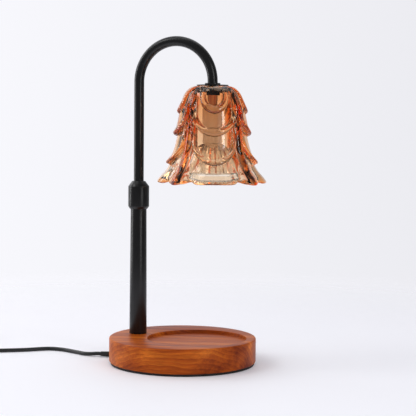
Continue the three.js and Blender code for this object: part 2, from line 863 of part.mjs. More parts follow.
// The point of the cord at a distance past the tip of the boot, in line with it.
function pastBoot(distance) {
  const reach = exit_reach + boot_outside_length + distance;
  return [column_x - reach * Math.cos(exit_turn), -reach * Math.sin(exit_turn), boot_height];
}

// The cord's route from the boot to the dimmer, along the table.
const dimmer_route = [
  pastBoot(seat_gap),
  pastBoot(seat_gap + cord_diameter),
  [-102.5, -8.9, 2.5],
  [-110, -8.2, lay_level],
  [-117.5, -5.6, lay_level],
  [-128.4, -1.7, lay_level],
  [-140, 2, lay_level],
  [-150, 2.8, lay_level],
  [-159, 0.4, lay_level],
  [-166, -5, lay_level],
  [-172, -11.5, lay_level],
  [-178, -17.3, lay_level],
  [-185, -22.4, lay_level],
  [-192, -27.4, lay_level],
  [-199, -32, lay_level],
  [-206, -36.6, 2.6],
  [-213.5, -41, 4.7],
  [-220, -43.6, 7],
  [dimmer_start[0] + seat_gap + cord_diameter, dimmer_start[1], dimmer_parting_height],
  [dimmer_start[0] + seat_gap, dimmer_start[1], dimmer_parting_height],
];

// The route from the dimmer round to the coil.
const dimmer_end = dimmer_start[0] - dimmer_length - 2 * dimmer_neck_length;
const coil_outer_radius = coil_inner_radius + coil_pitch * coil_turns_in;
const coil_entry_y = coil_centre[1] - coil_outer_radius;
const coil_entry_x = coil_centre[0] - cord_diameter;
const coil_route = [
  [dimmer_end - seat_gap, dimmer_start[1], dimmer_parting_height],
  [dimmer_end - seat_gap - cord_diameter, dimmer_start[1], dimmer_parting_height],
  [-303, -43.6, 5.6],
  [-310, -41.4, 3.4],
  [-315.6, -37, lay_level],
  [-318.6, -31, lay_level],
  [-319.4, -24.6, lay_level],
  [-317.4, -18.6, lay_level],
  [-313.2, -13.6, lay_level],
  [-307.6, coil_entry_y - 0.9, lay_level],
  [coil_entry_x - seat_gap - cord_diameter, coil_entry_y, lay_level],
  [coil_entry_x - seat_gap, coil_entry_y, lay_level],
];

// The route from the coil's outer turn to the plug beyond it.
const coil_exit_x = coil_centre[0] - cord_diameter;
const coil_exit_y = coil_centre[1] + coil_inner_radius + coil_pitch * coil_turns_out;
const upper_lay_level = lay_level + coil_layer_rise;
const plug_axis_height = plug_thickness / 2;
const plug_rear_x = coil_exit_x - plug_lead_length;
const plug_route = [
  [coil_exit_x - seat_gap, coil_exit_y, upper_lay_level],
  [coil_exit_x - seat_gap - cord_diameter, coil_exit_y, upper_lay_level],
  [plug_rear_x + seat_gap + cord_diameter, coil_exit_y, plug_axis_height],
  [plug_rear_x + seat_gap, coil_exit_y, plug_axis_height],
];

// A free stretch of cord along a smooth curve through its route's points.
function cordStretch(route) {
  const curve = new THREE.CatmullRomCurve3(route.map((point) => new THREE.Vector3(...point)));
  const steps = Math.round(curve.getLength() / (2 * cord_diameter));
  const points = [];
  const tangents = [];
  for (let i = 0; i <= steps; i++) {
    points.push(curve.getPointAt(i / steps));
    tangents.push(curve.getTangentAt(i / steps));
  }
  return swept(new SteppedPath(points, tangents), steps, cord_diameter, cord_sides);
}

// A point of the coil's centre line: in along the lower layer, up a layer in the half turn at
// the middle, and out again along the upper layer.
function coilPoint(turns) {
  const climb = THREE.MathUtils.clamp((turns - coil_turns_in) * 2, 0, 1);
  const inward = Math.max(coil_turns_in - turns, 0);
  const outward = Math.max(turns - coil_turns_in - 1 / 2, 0);
  const dip = coil_dip * Math.sin(climb * Math.PI);
  const radius = coil_inner_radius + coil_pitch * (inward + outward) - dip;
  const angle = (turns - 1 / 4) * 2 * Math.PI;
  return new THREE.Vector3(
    coil_centre[0] + radius * Math.cos(angle),
    coil_centre[1] + radius * Math.sin(angle),
    lay_level + coil_layer_rise * eased(climb),
  );
}

// The coil's centre line, with a straight end of one diameter at each end.
function coilPoints() {
  const total = coil_turns_in + 1 / 2 + coil_turns_out;
  const steps = Math.round(total * coil_loop_steps);
  const points = [];
  for (let i = 0; i <= steps; i++) points.push(coilPoint((i / steps) * total));
  points.unshift(new THREE.Vector3(coil_entry_x, coil_entry_y, lay_level));
  points.push(new THREE.Vector3(coil_exit_x, coil_exit_y, upper_lay_level));
  return points;
}

// The least gap between the turns of the coil, measured between points of its centre line.
function coilGap(points) {
  let least = Infinity;
  const apart = coil_loop_steps / 3;
  points.forEach((point, i) => {
    for (let j = i + apart; j < points.length; j++) {
      least = Math.min(least, point.distanceTo(points[j]) - cord_diameter);
    }
  });
  return least;
}

// The wound coil as one unbroken tube.
function cordCoil() {
  const points = coilPoints();
  const path = pathThrough(points);
  path.tangents[0] = new THREE.Vector3(1, 0, 0);
  path.tangents[points.length - 1] = new THREE.Vector3(-1, 0, 0);
  return swept(path, points.length - 1, cord_diameter, coil_sides);
}

// The outline of the dimmer's case seen from above, drawn inside its outer size by an inset.
function caseOutline(inset) {
  const length = dimmer_length - 2 * inset;
  const width = dimmer_width - 2 * inset;
  const radius = dimmer_corner_radius - inset;
  const [x, y] = [length / 2, width / 2];
  const shape = new THREE.Shape();
  shape.moveTo(-x + radius, -y);
  shape.lineTo(x - radius, -y);
  shape.absarc(x - radius, -y + radius, radius, -Math.PI / 2, 0);
  shape.lineTo(x, y - radius);
  shape.absarc(x - radius, y - radius, radius, 0, Math.PI / 2);
  shape.lineTo(-x + radius, y);
  shape.absarc(-x + radius, y - radius, radius, Math.PI / 2, Math.PI);
  shape.lineTo(-x, -y + radius);
  shape.absarc(-x + radius, -y + radius, radius, Math.PI, (3 * Math.PI) / 2);
  return shape;
}

// The dimmer's hollow case, with a round neck for the cord at each end, as one solid.
function dimmerCase() {
  const outside = new THREE.ExtrudeGeometry(caseOutline(dimmer_edge), {
    depth: dimmer_height - 2 * dimmer_edge,
    curveSegments: corner_steps,
    bevelSize: dimmer_edge,
    bevelThickness: dimmer_edge,
    bevelSegments: 2,
  }).translate(0, 0, dimmer_edge);
  const cavity = new THREE.ExtrudeGeometry(caseOutline(dimmer_wall + dimmer_edge / 2), {
    depth: dimmer_height - 2 * dimmer_wall,
    curveSegments: corner_steps,
    bevelEnabled: false,
  }).translate(0, 0, dimmer_wall);
  const neck = laidAlongX(rod(dimmer_neck_diameter, 0, dimmer_length + 2 * dimmer_neck_length,
    small_sides), -dimmer_length / 2 - dimmer_neck_length, 0, dimmer_parting_height);
  return solidOf(outside).add(solidOf(neck)).subtract(solidOf(cavity));
}

// The places of the dimmer's two screws along its length.
const dimmer_screw_x = dimmer_length / 2 - dimmer_screw_end_margin;
const wheel_axis_height = dimmer_height + wheel_proud - wheel_diameter / 2;

// The two halves of the dimmer's case, parted at the cord's level.
function dimmerShells() {
  const whole = dimmerCase();
  const reach = dimmer_length;
  const parting = dimmer_parting_height;
  const upper = block([-reach, -reach, parting + seat_gap / 2], [reach, reach, reach]);
  const lower = block([-reach, -reach, -reach], [reach, reach, parting - seat_gap / 2]);
  const slot_half = wheel_diameter / 2 + running_gap + wheel_ridge_height;
  const slot_width = wheel_thickness / 2 + 2 * running_gap;
  const slot = block([-slot_half, -slot_width, parting + dimmer_wall],
    [slot_half, slot_width, dimmer_height + cut_overrun]);
  let top = whole.intersect(solidOf(upper)).subtract(solidOf(slot));
  let bottom = whole.intersect(solidOf(lower));
  for (const side of [-1, 1]) {
    const x = side * dimmer_screw_x;
    const post_top = rod(dimmer_post_diameter, parting + seat_gap / 2,
      dimmer_height - dimmer_wall / 2, small_sides);
    const post_bottom = rod(dimmer_post_diameter, dimmer_wall / 2, parting - seat_gap / 2,
      small_sides);
    const hole = rod(dimmer_screw_diameter + 2 * seat_gap, -cut_overrun,
      dimmer_screw_length + seat_gap, small_sides);
    const sink = rod(dimmer_screw_head_diameter + 2 * seat_gap, -cut_overrun,
      dimmer_screw_head_height + seat_gap, small_sides);
    top = top.add(solidOf(post_top.translate(x, 0, 0)));
    bottom = bottom.add(solidOf(post_bottom.translate(x, 0, 0)));
    top = top.subtract(solidOf(hole.clone().translate(x, 0, 0)));
    bottom = bottom.subtract(solidOf(hole.translate(x, 0, 0)));
    bottom = bottom.subtract(solidOf(sink.translate(x, 0, 0)));
  }
  return [geometryOf(top), geometryOf(bottom)];
}

// The ridged thumb wheel, standing on edge across the case.
function dimmerWheel() {
  const outline = new THREE.Shape();
  const points = 2 * wheel_ridge_count;
  for (let i = 0; i < points; i++) {
    const angle = (i / points) * 2 * Math.PI;
    const radius = wheel_diameter / 2 - (i % 2) * wheel_ridge_height;
    const place = [radius * Math.cos(angle), radius * Math.sin(angle)];
    if (i === 0) outline.moveTo(...place);
    else outline.lineTo(...place);
  }
  const bore = wheel_axle_diameter / 2 + running_gap;
  outline.holes.push(new THREE.Path().absarc(0, 0, bore, 0, 2 * Math.PI, true));
  return new THREE.ExtrudeGeometry(outline, {
    depth: wheel_thickness,
    curveSegments: corner_steps,
    bevelEnabled: false,
  }).translate(0, 0, -wheel_thickness / 2).rotateX(Math.PI / 2)
    .translate(0, 0, wheel_axis_height);
}

// The circuit board, with the potentiometer beside the wheel and its axle through the wheel.
function dimmerBoard() {
  const [length, width] = [board_length / 2, board_width / 2];
  const board_top = board_level + board_thickness;
  const inner_face = wheel_thickness / 2 + running_gap;
  const half = potentiometer_length / 2;
  const well = wheel_diameter / 2 + running_gap;
  const well_width = wheel_thickness / 2 + running_gap;
  let board = solidOf(block([-length, -width, board_level], [length, width, board_top]));
  const pot = block([-half, inner_face, board_top - board_thickness / 2],
    [half, inner_face + potentiometer_width, wheel_axis_height + half / 2]);
  const axle = rod(wheel_axle_diameter, 0, wheel_thickness + inner_face, small_sides)
    .rotateX(Math.PI / 2).translate(0, inner_face + potentiometer_width / 2, wheel_axis_height);
  const clear = block([-well, -well_width, board_level - cut_overrun],
    [well, well_width, board_top + cut_overrun]);
  board = board.subtract(solidOf(clear)).add(solidOf(pot)).add(solidOf(axle));
  for (const side of [-1, 1]) {
    const hole = rod(dimmer_post_diameter + 2 * running_gap, board_level - cut_overrun,
      board_top + cut_overrun, small_sides);
    board = board.subtract(solidOf(hole.translate(side * dimmer_screw_x, 0, 0)));
  }
  return geometryOf(board);
}

// A countersunk screw, driven up from under the dimmer.
function dimmerScrew(side) {
  const head = dimmer_screw_head_diameter / 2;
  const shank = dimmer_screw_diameter / 2;
  return turned([
    [0, seat_gap],
    [head, seat_gap],
    [head, dimmer_screw_head_height],
    [shank, dimmer_screw_head_height],
    [shank, dimmer_screw_length],
    [0, dimmer_screw_length],
  ], small_sides).translate(side * dimmer_screw_x, 0, 0);
}

// The inline dimmer, lying along the cord.
function addDimmer() {
  const dimmer = new THREE.Group();
  const middle = dimmer_start[0] - dimmer_neck_length - dimmer_length / 2;
  dimmer.position.set(middle, dimmer_start[1], 0);
  lamp.add(dimmer);
  const [top, bottom] = dimmerShells();
  add("dimmer_top", top, black_plastic, dimmer);
  add("dimmer_bottom", bottom, black_plastic, dimmer);
  add("dimmer_wheel", dimmerWheel(), black_plastic, dimmer);
  add("dimmer_board", dimmerBoard(), board_green, dimmer);
  add("dimmer_screw_1", dimmerScrew(-1), zinc, dimmer);
  add("dimmer_screw_2", dimmerScrew(1), zinc, dimmer);
}

// The flat two-pin plug's body, wide at its pins and drawn in to a round boot at its rear.
function plugBody() {
  const front = plug_width / 2 - plug_edge;
  const rear = plug_rear_width / 2 - plug_edge;
  const outline = new THREE.Shape();
  const end = plug_length - plug_edge;
  const shoulder = plug_length - plug_front_length;
  outline.moveTo(plug_edge, -rear);
  outline.bezierCurveTo(shoulder / 2, -rear, shoulder / 2, -front, shoulder, -front);
  outline.lineTo(end, -front);
  outline.lineTo(end, front);
  outline.lineTo(shoulder, front);
  outline.bezierCurveTo(shoulder / 2, front, shoulder / 2, rear, plug_edge, rear);
  outline.closePath();
  const body = new THREE.ExtrudeGeometry(outline, {
    depth: plug_thickness - 2 * plug_edge,
    curveSegments: 2 * corner_steps,
    bevelSize: plug_edge,
    bevelThickness: plug_edge,
    bevelSegments: 2,
  }).translate(plug_boot_length, 0, plug_edge);
  const boot = laidAlongX(turned([
    [0, 0],
    [plug_boot_tip_diameter / 2, 0],
    [plug_boot_diameter / 2, plug_boot_length],
    [plug_boot_diameter / 2, plug_boot_length + plug_edge + cut_overrun],
    [0, plug_boot_length + plug_edge + cut_overrun],
  ], small_sides), 0, 0, plug_axis_height);
  return geometryOf(solidOf(body).add(solidOf(boot)));
}

// The plug, lying flat past the coil with its pins away from the lamp.
function addPlug() {
  const plug = new THREE.Group();
  plug.position.set(plug_rear_x, coil_exit_y, 0);
  plug.rotation.z = Math.PI;
  lamp.add(plug);
  add("plug_body", plugBody(), black_plastic, plug);
  const face = plug_boot_length + plug_length + seat_gap;
  const radius = plug_pin_diameter / 2;
  for (const [name, side] of [["plug_pin_1", -1], ["plug_pin_2", 1]]) {
    const pin = turned([
      [0, 0],
      [radius, 0],
      [radius, plug_pin_length - radius],
      [radius / 2, plug_pin_length],
      [0, plug_pin_length],
    ], small_sides);
    add(name, laidAlongX(pin, face, (side * plug_pin_spacing) / 2, plug_axis_height), zinc, plug);
  }
}

// The mains lead, from the strain relief to the plug.
function addMainsLead() {
  add("strain_boot", strainBoot(), rubber);
  add("base_lead", baseLead(), insulation);
  add("cord_to_dimmer", cordStretch(dimmer_route), cord_jacket);
  addDimmer();
  add("cord_to_coil", cordStretch(coil_route), cord_jacket);
  add("cord_coil", cordCoil(), cord_jacket);
  add("cord_to_plug", cordStretch(plug_route), cord_jacket);
  addPlug();
}

addStand();
addArm();
addShade();
addMainsLead();
console.log("least gap between the coil's turns, mm: " + coilGap(coilPoints()).toFixed(2));

export default lamp;
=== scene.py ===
"""Dresses a candle warmer lamp: turned wooden base, black column and crooked arm, pressed glass
shade round a reflector bulb, and a mains lead with an inline dimmer.

Sizes are in millimetres in the lamp's frame (origin under the base, +Z up, +X from the column
to the shade) and are turned to metres where a mesh is finished.
"""

import logging
import math
from dataclasses import dataclass, field
from enum import Enum

import bmesh
import bpy
from mathutils import Matrix, Vector


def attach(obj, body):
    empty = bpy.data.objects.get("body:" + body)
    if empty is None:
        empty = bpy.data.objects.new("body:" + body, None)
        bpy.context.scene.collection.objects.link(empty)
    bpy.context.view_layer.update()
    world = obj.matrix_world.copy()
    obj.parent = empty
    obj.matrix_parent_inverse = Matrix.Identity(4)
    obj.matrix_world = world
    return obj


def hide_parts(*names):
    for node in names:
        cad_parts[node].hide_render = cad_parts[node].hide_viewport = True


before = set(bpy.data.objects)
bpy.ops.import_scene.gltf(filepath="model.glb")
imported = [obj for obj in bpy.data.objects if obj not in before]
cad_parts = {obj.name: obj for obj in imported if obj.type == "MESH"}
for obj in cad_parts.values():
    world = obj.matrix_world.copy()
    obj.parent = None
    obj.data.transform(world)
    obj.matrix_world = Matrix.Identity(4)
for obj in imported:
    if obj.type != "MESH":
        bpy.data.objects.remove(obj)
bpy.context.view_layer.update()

MM = 0.001
# A piece's edge stays sharp in its shading above the one angle, and is bevelled above the other.
SMOOTH_DEGREES = 38.0
SHARP_DEGREES = 32.0
# Points of a spun shape that are as close as the first of these, in millimetres, are one point,
# and so are points of a CAD node's loose triangles that are as close as the second.
SEAM_REACH = 1e-4
WELD_REACH = 2e-3
# Faces of a CAD node are joined where they meet at less than this.
FLAT_DEGREES = 1.5
# A Wave Texture with a scale of 1 repeats its rings every tau / 20.
WAVE_DIVISOR = 20
# The sockets of a Map Range node that its four levels go to.
SPAN = ("From Min", "From Max", "To Min", "To Max")
LOG = logging.getLogger("candle_lamp")
Point = tuple[float, float, float]
Profile = list[tuple[float, float]]


class Body(str, Enum):
    """The bodies of the frame that a made piece rides on."""

    BASE = "base"
    ARM = "arm"
    COLLAR = "collar"
    WHEEL = "dimmer_wheel"


def linear(hex_code: str) -> tuple[float, float, float, float]:
    """Turns an sRGB hex code into a linear colour.

    Args:
        hex_code: six hex digits.

    Returns:
        The linear red, green, blue and an alpha of one.
    """
    channels = []
    for start in (0, 2, 4):
        value = int(hex_code[start:start + 2], 16) / 255
        channels.append(value / 12.92 if value <= 0.04045 else ((value + 0.055) / 1.055) ** 2.4)
    return (channels[0], channels[1], channels[2], 1.0)


def add_node(
    tree: bpy.types.NodeTree,
    kind: str,
    inputs: dict | None = None,
    stops: list[tuple[float, str]] | None = None,
    **settings,
) -> bpy.types.Node:
    """Adds a node with its settings, values and links.

    Args:
        tree: the node tree.
        kind: the node's type name.
        inputs: input names or numbers, each with a value or the socket that feeds it.
        stops: for a colour ramp, its positions and hex colours.
        **settings: the node's own properties.

    Returns:
        The new node.
    """
    node = tree.nodes.new(kind)
    for key, value in settings.items():
        setattr(node, key, value)
    for key, value in (inputs or {}).items():
        if isinstance(value, bpy.types.NodeSocket):
            tree.links.new(value, node.inputs[key])
        else:
            node.inputs[key].default_value = value
    if stops:
        elements = node.color_ramp.elements
        while len(elements) < len(stops):
            elements.new(0.5)
        for element, (position, hex_code) in zip(elements, stops):
            element.position = position
            element.color = linear(hex_code)
    return node


# Finishes


@dataclass(frozen=True)
class Finish:
    """A surface finish: a named material and the record's slot that it belongs to."""

    name: str
    slot: str

    def start(self) -> tuple[bpy.types.Material, bpy.types.NodeTree]:
        """Makes the empty material.

        Returns:
            The material and its node tree.
        """
        material = bpy.data.materials.new(self.name)
        material.use_nodes = True
        material.node_tree.nodes.clear()
        return material, material.node_tree

    def material(self) -> bpy.types.Material:
        """Gives the material, made the first time that it is asked for."""
        return bpy.data.materials.get(self.name) or self.build()

    def build(self) -> bpy.types.Material:
        """Makes the material's nodes. Each finish has its own."""
        raise NotImplementedError


@dataclass(frozen=True)
class PlainFinish(Finish):
    """A moulded, plated or painted skin: an even colour broken by a fine surface grain.

    The grain is drawn coarser than a real one, so that it shows.
    """

    colour: str = "808080"
    deep_colour: str = "707070"
    roughness: float = 0.5
    metallic: float = 0.0
    grain_mm: float = 0.6
    grain_depth: float = 0.06
    blotch_mm: float = 9.0
    specular: float = 0.5
    rough_spread: tuple[float, float] = (0.85, 1.2)

    def build(self) -> bpy.types.Material:
        """Makes the nodes: mottled colour and roughness, and a fine bump.

        Returns:
            The material.
        """
        material, tree = self.start()
        place = add_node(tree, "ShaderNodeTexCoord").outputs["Object"]
        blotch = add_node(tree, "ShaderNodeTexNoise", {
            "Vector": place, "Scale": 1 / (self.blotch_mm * MM), "Detail": 4.0})
        grain = add_node(tree, "ShaderNodeTexNoise", {
            "Vector": place, "Scale": 1 / (self.grain_mm * MM), "Detail": 3.0})
        colour = add_node(tree, "ShaderNodeMix", {
            "Factor": blotch.outputs["Fac"], 6: linear(self.colour),
            7: linear(self.deep_colour)}, data_type="RGBA")
        rough = add_node(tree, "ShaderNodeMapRange", {
            "Value": blotch.outputs["Fac"], "To Min": self.roughness * self.rough_spread[0],
            "To Max": min(self.roughness * self.rough_spread[1], 1.0)})
        bump = add_node(tree, "ShaderNodeBump", {
            "Height": grain.outputs["Fac"], "Strength": self.grain_depth,
            "Distance": self.grain_mm * MM})
        shader = add_node(tree, "ShaderNodeBsdfPrincipled", {
            "Base Color": colour.outputs[2], "Roughness": rough.outputs["Result"],
            "Metallic": self.metallic, "Normal": bump.outputs["Normal"],
            "Specular IOR Level": self.specular})
        add_node(tree, "ShaderNodeOutputMaterial", {"Surface": shader.outputs["BSDF"]})
        return material


@dataclass(frozen=True)
class OiledWood(Finish):
    """Oiled rubberwood, stained red-brown: a slightly wavy grain with darker bands and pores.

    The fibres' streaks are drawn coarser than real ones, so that they show.
    """

    light: str = "CC6C1C"
    middle: str = "A0470C"
    dark: str = "6C2303"
    colour_levels: tuple[float, float, float] = (0.36, 0.5, 0.66)
    band_mm: float = 30.0
    band_stretch: float = 0.07
    fibre_mm: float = 1.6
    fibre_tone: tuple[float, float, float, float] = (0.3, 0.7, 0.7, 1.16)
    pore_mm: float = 0.5
    pore_spacing: float = 2.2
    pore_stretch: float = 0.1
    pore_levels: tuple[float, float] = (0.10, 0.24)
    pore_tone: float = 0.84
    ring_mm: float = 4.2
    ring_share: float = 0.08
    pith: Point = (0.0, 0.07, 0.05)
    grain_tilt: tuple[float, float] = (0.09, 0.05)
    grain_turn_degrees: float = -14.0
    waves_per_metre: float = 14.0
    wave_reach: Point = (0.0, 0.016, 0.016)
    pore_depth_mm: float = 0.2
    bump_strength: float = 0.12
    oil_roughness: tuple[float, float] = (0.34, 0.5)
    oil_specular: float = 0.12

    def build(self) -> bpy.types.Material:
        """Makes the nodes: wavy growth bands, fibres along the grain, pores and a satin oil.

        Returns:
            The material.
        """
        material, tree = self.start()
        place = add_node(tree, "ShaderNodeTexCoord").outputs["Object"]
        turned_place = add_node(tree, "ShaderNodeMapping", {
            "Vector": place,
            "Rotation": (*self.grain_tilt, math.radians(self.grain_turn_degrees))})
        waves = add_node(tree, "ShaderNodeTexNoise", {
            "Vector": turned_place.outputs["Vector"], "Scale": self.waves_per_metre,
            "Detail": 2.0})
        bent = add_node(tree, "ShaderNodeVectorMath", {
            0: waves.outputs["Color"], 1: self.wave_reach}, operation="MULTIPLY")
        grain_place = add_node(tree, "ShaderNodeVectorMath", {
            0: turned_place.outputs["Vector"], 1: bent.outputs["Vector"]}, operation="ADD")
        along = add_node(tree, "ShaderNodeMapping", {
            "Vector": grain_place.outputs["Vector"], "Scale": (self.band_stretch, 1.0, 1.0)})
        bands = add_node(tree, "ShaderNodeTexNoise", {
            "Vector": along.outputs["Vector"], "Scale": 1 / (self.band_mm * MM), "Detail": 3.0,
            "Roughness": 0.6})
        fibres = add_node(tree, "ShaderNodeTexNoise", {
            "Vector": along.outputs["Vector"], "Scale": 1 / (self.fibre_mm * MM),
            "Detail": 5.0, "Roughness": 0.65})
        from_pith = add_node(tree, "ShaderNodeMapping", {
            "Vector": grain_place.outputs["Vector"], "Location": self.pith})
        rings = add_node(tree, "ShaderNodeTexWave", {
            "Vector": from_pith.outputs["Vector"],
            "Scale": math.tau / WAVE_DIVISOR / (self.ring_mm * MM), "Distortion": 4.0,
            "Detail": 3.0, "Detail Scale": 0.6}, wave_type="RINGS", rings_direction="X",
            wave_profile="SAW")
        growth = add_node(tree, "ShaderNodeMix", {
            "Factor": self.ring_share, "A": bands.outputs["Fac"], "B": rings.outputs["Fac"]})
        pore_place = add_node(tree, "ShaderNodeMapping", {
            "Vector": grain_place.outputs["Vector"], "Scale": (self.pore_stretch, 1.0, 1.0)})
        pores = add_node(tree, "ShaderNodeTexVoronoi", {
            "Vector": pore_place.outputs["Vector"],
            "Scale": 1 / (self.pore_spacing * self.pore_mm * MM)})
        pore_mask = add_node(tree, "ShaderNodeMapRange", {
            "Value": pores.outputs["Distance"], "From Min": self.pore_levels[0],
            "From Max": self.pore_levels[1]})
        band_colour = add_node(
            tree, "ShaderNodeValToRGB", {"Fac": growth.outputs["Result"]},
            stops=list(zip(self.colour_levels, (self.light, self.middle, self.dark))))
        fibre_tone = add_node(tree, "ShaderNodeMapRange", {
            "Value": fibres.outputs["Fac"], **dict(zip(SPAN, self.fibre_tone))})
        pore_tone = add_node(tree, "ShaderNodeMapRange", {
            "Value": pore_mask.outputs["Result"], "To Min": self.pore_tone, "To Max": 1.0})
        tone = add_node(tree, "ShaderNodeMath", {
            0: fibre_tone.outputs["Result"], 1: pore_tone.outputs["Result"]},
            operation="MULTIPLY")
        colour = add_node(tree, "ShaderNodeVectorMath", {
            0: band_colour.outputs["Color"], "Scale": tone.outputs["Value"]}, operation="SCALE")
        height = add_node(tree, "ShaderNodeMath", {
            0: fibres.outputs["Fac"], 1: pore_mask.outputs["Result"]}, operation="ADD")
        bump = add_node(tree, "ShaderNodeBump", {
            "Height": height.outputs["Value"], "Strength": self.bump_strength,
            "Distance": self.pore_depth_mm * MM})
        rough = add_node(tree, "ShaderNodeMapRange", {
            "Value": fibres.outputs["Fac"], "To Min": self.oil_roughness[0],
            "To Max": self.oil_roughness[1]})
        shader = add_node(tree, "ShaderNodeBsdfPrincipled", {
            "Base Color": colour.outputs["Vector"], "Roughness": rough.outputs["Result"],
            "Normal": bump.outputs["Normal"], "Specular IOR Level": self.oil_specular})
        add_node(tree, "ShaderNodeOutputMaterial", {"Surface": shader.outputs["BSDF"]})
        return material


@dataclass(frozen=True)
class PressedGlass(Finish):
    """Soda-lime glass pressed in a mould: what passes through it is coloured by its depth.

    The mesh carries two attributes: "rib", one on the thick ribs, and "height", one at the top.
    A ray that has been reflected too often inside is let out, so that what is trapped in the
    thick walls doesn't turn black. Near the crown such a ray is painted near black: painted
    shade that stands for the dark fittings seen through the glass there.
    The depth colour is linear, not a hex code: with the density it says what the body absorbs.
    """

    depth_colour: Point = (0.95, 0.56, 0.06)
    density: float = 45.0
    roughness: float = 0.02
    ior: float = 1.5
    ripple_mm: float = 14.0
    ripple_depth: float = 0.05
    ripple_height_mm: float = 1.0
    pale: str = "FFFAF2"
    copper: str = "FBD4AC"
    deep: str = "F06A06"
    # Dark patches in the ribs, mixed over the deep orange by a noise: painted reflections of the
    # dark fittings.
    dark: str = "4A0E00"
    painted_reflection_spot_mm: float = 5.0
    painted_reflection_spot_levels: tuple[float, float] = (0.52, 0.62)
    most_reflections: float = 2.5
    freed: str = "FFE9D4"
    # Near-black tint of trapped rays at the crown: painted shade for the dark fittings seen
    # through the glass.
    crown: str = "1E0C06"
    painted_crown_shade_levels: tuple[float, float] = (0.74, 0.9)

    def build(self) -> bpy.types.Material:
        """Makes the nodes: tinted surface, slow ripple of the mould, colour in the body.

        Returns:
            The material.
        """
        material, tree = self.start()
        place = add_node(tree, "ShaderNodeTexCoord").outputs["Object"]
        ripple = add_node(tree, "ShaderNodeTexNoise", {
            "Vector": place, "Scale": 1 / (self.ripple_mm * MM), "Detail": 1.0})
        bump = add_node(tree, "ShaderNodeBump", {
            "Height": ripple.outputs["Fac"], "Strength": self.ripple_depth,
            "Distance": self.ripple_height_mm * MM})
        height = add_node(tree, "ShaderNodeAttribute", attribute_name="height")
        rib = add_node(tree, "ShaderNodeAttribute", attribute_name="rib")
        fade = add_node(tree, "ShaderNodeMix", {
            "Factor": height.outputs["Fac"], 6: linear(self.pale), 7: linear(self.copper)},
            data_type="RGBA")
        # Painted reflections: a noise lays dark patches over the ribs' deep orange.
        painted_reflection_noise = add_node(tree, "ShaderNodeTexNoise", {
            "Vector": place, "Scale": 1 / (self.painted_reflection_spot_mm * MM), "Detail": 1.0})
        painted_reflection_patch = add_node(tree, "ShaderNodeMapRange", {
            "Value": painted_reflection_noise.outputs["Fac"], "From Min": self.painted_reflection_spot_levels[0],
            "From Max": self.painted_reflection_spot_levels[1]})
        body = add_node(tree, "ShaderNodeMix", {
            "Factor": painted_reflection_patch.outputs["Result"], 6: linear(self.deep), 7: linear(self.dark)},
            data_type="RGBA")
        tint = add_node(tree, "ShaderNodeMix", {
            "Factor": rib.outputs["Fac"], 6: fade.outputs[2], 7: body.outputs[2]},
            data_type="RGBA")
        shader = add_node(tree, "ShaderNodeBsdfPrincipled", {
            "Base Color": tint.outputs[2], "Roughness": self.roughness, "IOR": self.ior,
            "Transmission Weight": 1.0, "Normal": bump.outputs["Normal"]})
        volume = add_node(tree, "ShaderNodeVolumeAbsorption", {
            "Color": (*self.depth_colour, 1.0), "Density": self.density})
        path = add_node(tree, "ShaderNodeLightPath")
        trapped = add_node(tree, "ShaderNodeMath", {
            0: path.outputs["Glossy Depth"], 1: self.most_reflections},
            operation="GREATER_THAN")
        # Trapped rays near the top are painted near black: painted shade.
        painted_shade_near_top = add_node(tree, "ShaderNodeMapRange", {
            "Value": height.outputs["Fac"], "From Min": self.painted_crown_shade_levels[0],
            "From Max": self.painted_crown_shade_levels[1]})
        freed_tint_and_painted_shade = add_node(tree, "ShaderNodeMix", {
            "Factor": painted_shade_near_top.outputs["Result"], 6: linear(self.freed),
            7: linear(self.crown)}, data_type="RGBA")
        freed = add_node(tree, "ShaderNodeBsdfTransparent", {"Color": freed_tint_and_painted_shade.outputs[2]})
        surface = add_node(tree, "ShaderNodeMixShader", {
            0: trapped.outputs["Value"], 1: shader.outputs["BSDF"], 2: freed.outputs["BSDF"]})
        add_node(tree, "ShaderNodeOutputMaterial", {
            "Surface": surface.outputs["Shader"], "Volume": volume.outputs["Volume"]})
        return material


@dataclass(frozen=True)
class ClearGlass(Finish):
    """Clear thin glass, such as a bulb's cover, with a faint haze from its making.

    Its IOR is low because the cover is a thin sheet, which bends light less than a lump does.
    """

    tint: str = "FBFBF8"
    roughness: float = 0.12
    rough_spread: tuple[float, float] = (0.5, 1.6)
    haze_mm: float = 6.0
    ior: float = 1.2

    def build(self) -> bpy.types.Material:
        """Makes the nodes: transparent body with faint patches in its gloss.

        Returns:
            The material.
        """
        material, tree = self.start()
        place = add_node(tree, "ShaderNodeTexCoord").outputs["Object"]
        haze = add_node(tree, "ShaderNodeTexNoise", {
            "Vector": place, "Scale": 1 / (self.haze_mm * MM), "Detail": 2.0})
        rough = add_node(tree, "ShaderNodeMapRange", {
            "Value": haze.outputs["Fac"], "To Min": self.roughness * self.rough_spread[0],
            "To Max": self.roughness * self.rough_spread[1]})
        shader = add_node(tree, "ShaderNodeBsdfPrincipled", {
            "Base Color": linear(self.tint), "Roughness": rough.outputs["Result"],
            "IOR": self.ior, "Transmission Weight": 1.0})
        add_node(tree, "ShaderNodeOutputMaterial", {"Surface": shader.outputs["BSDF"]})
        return material


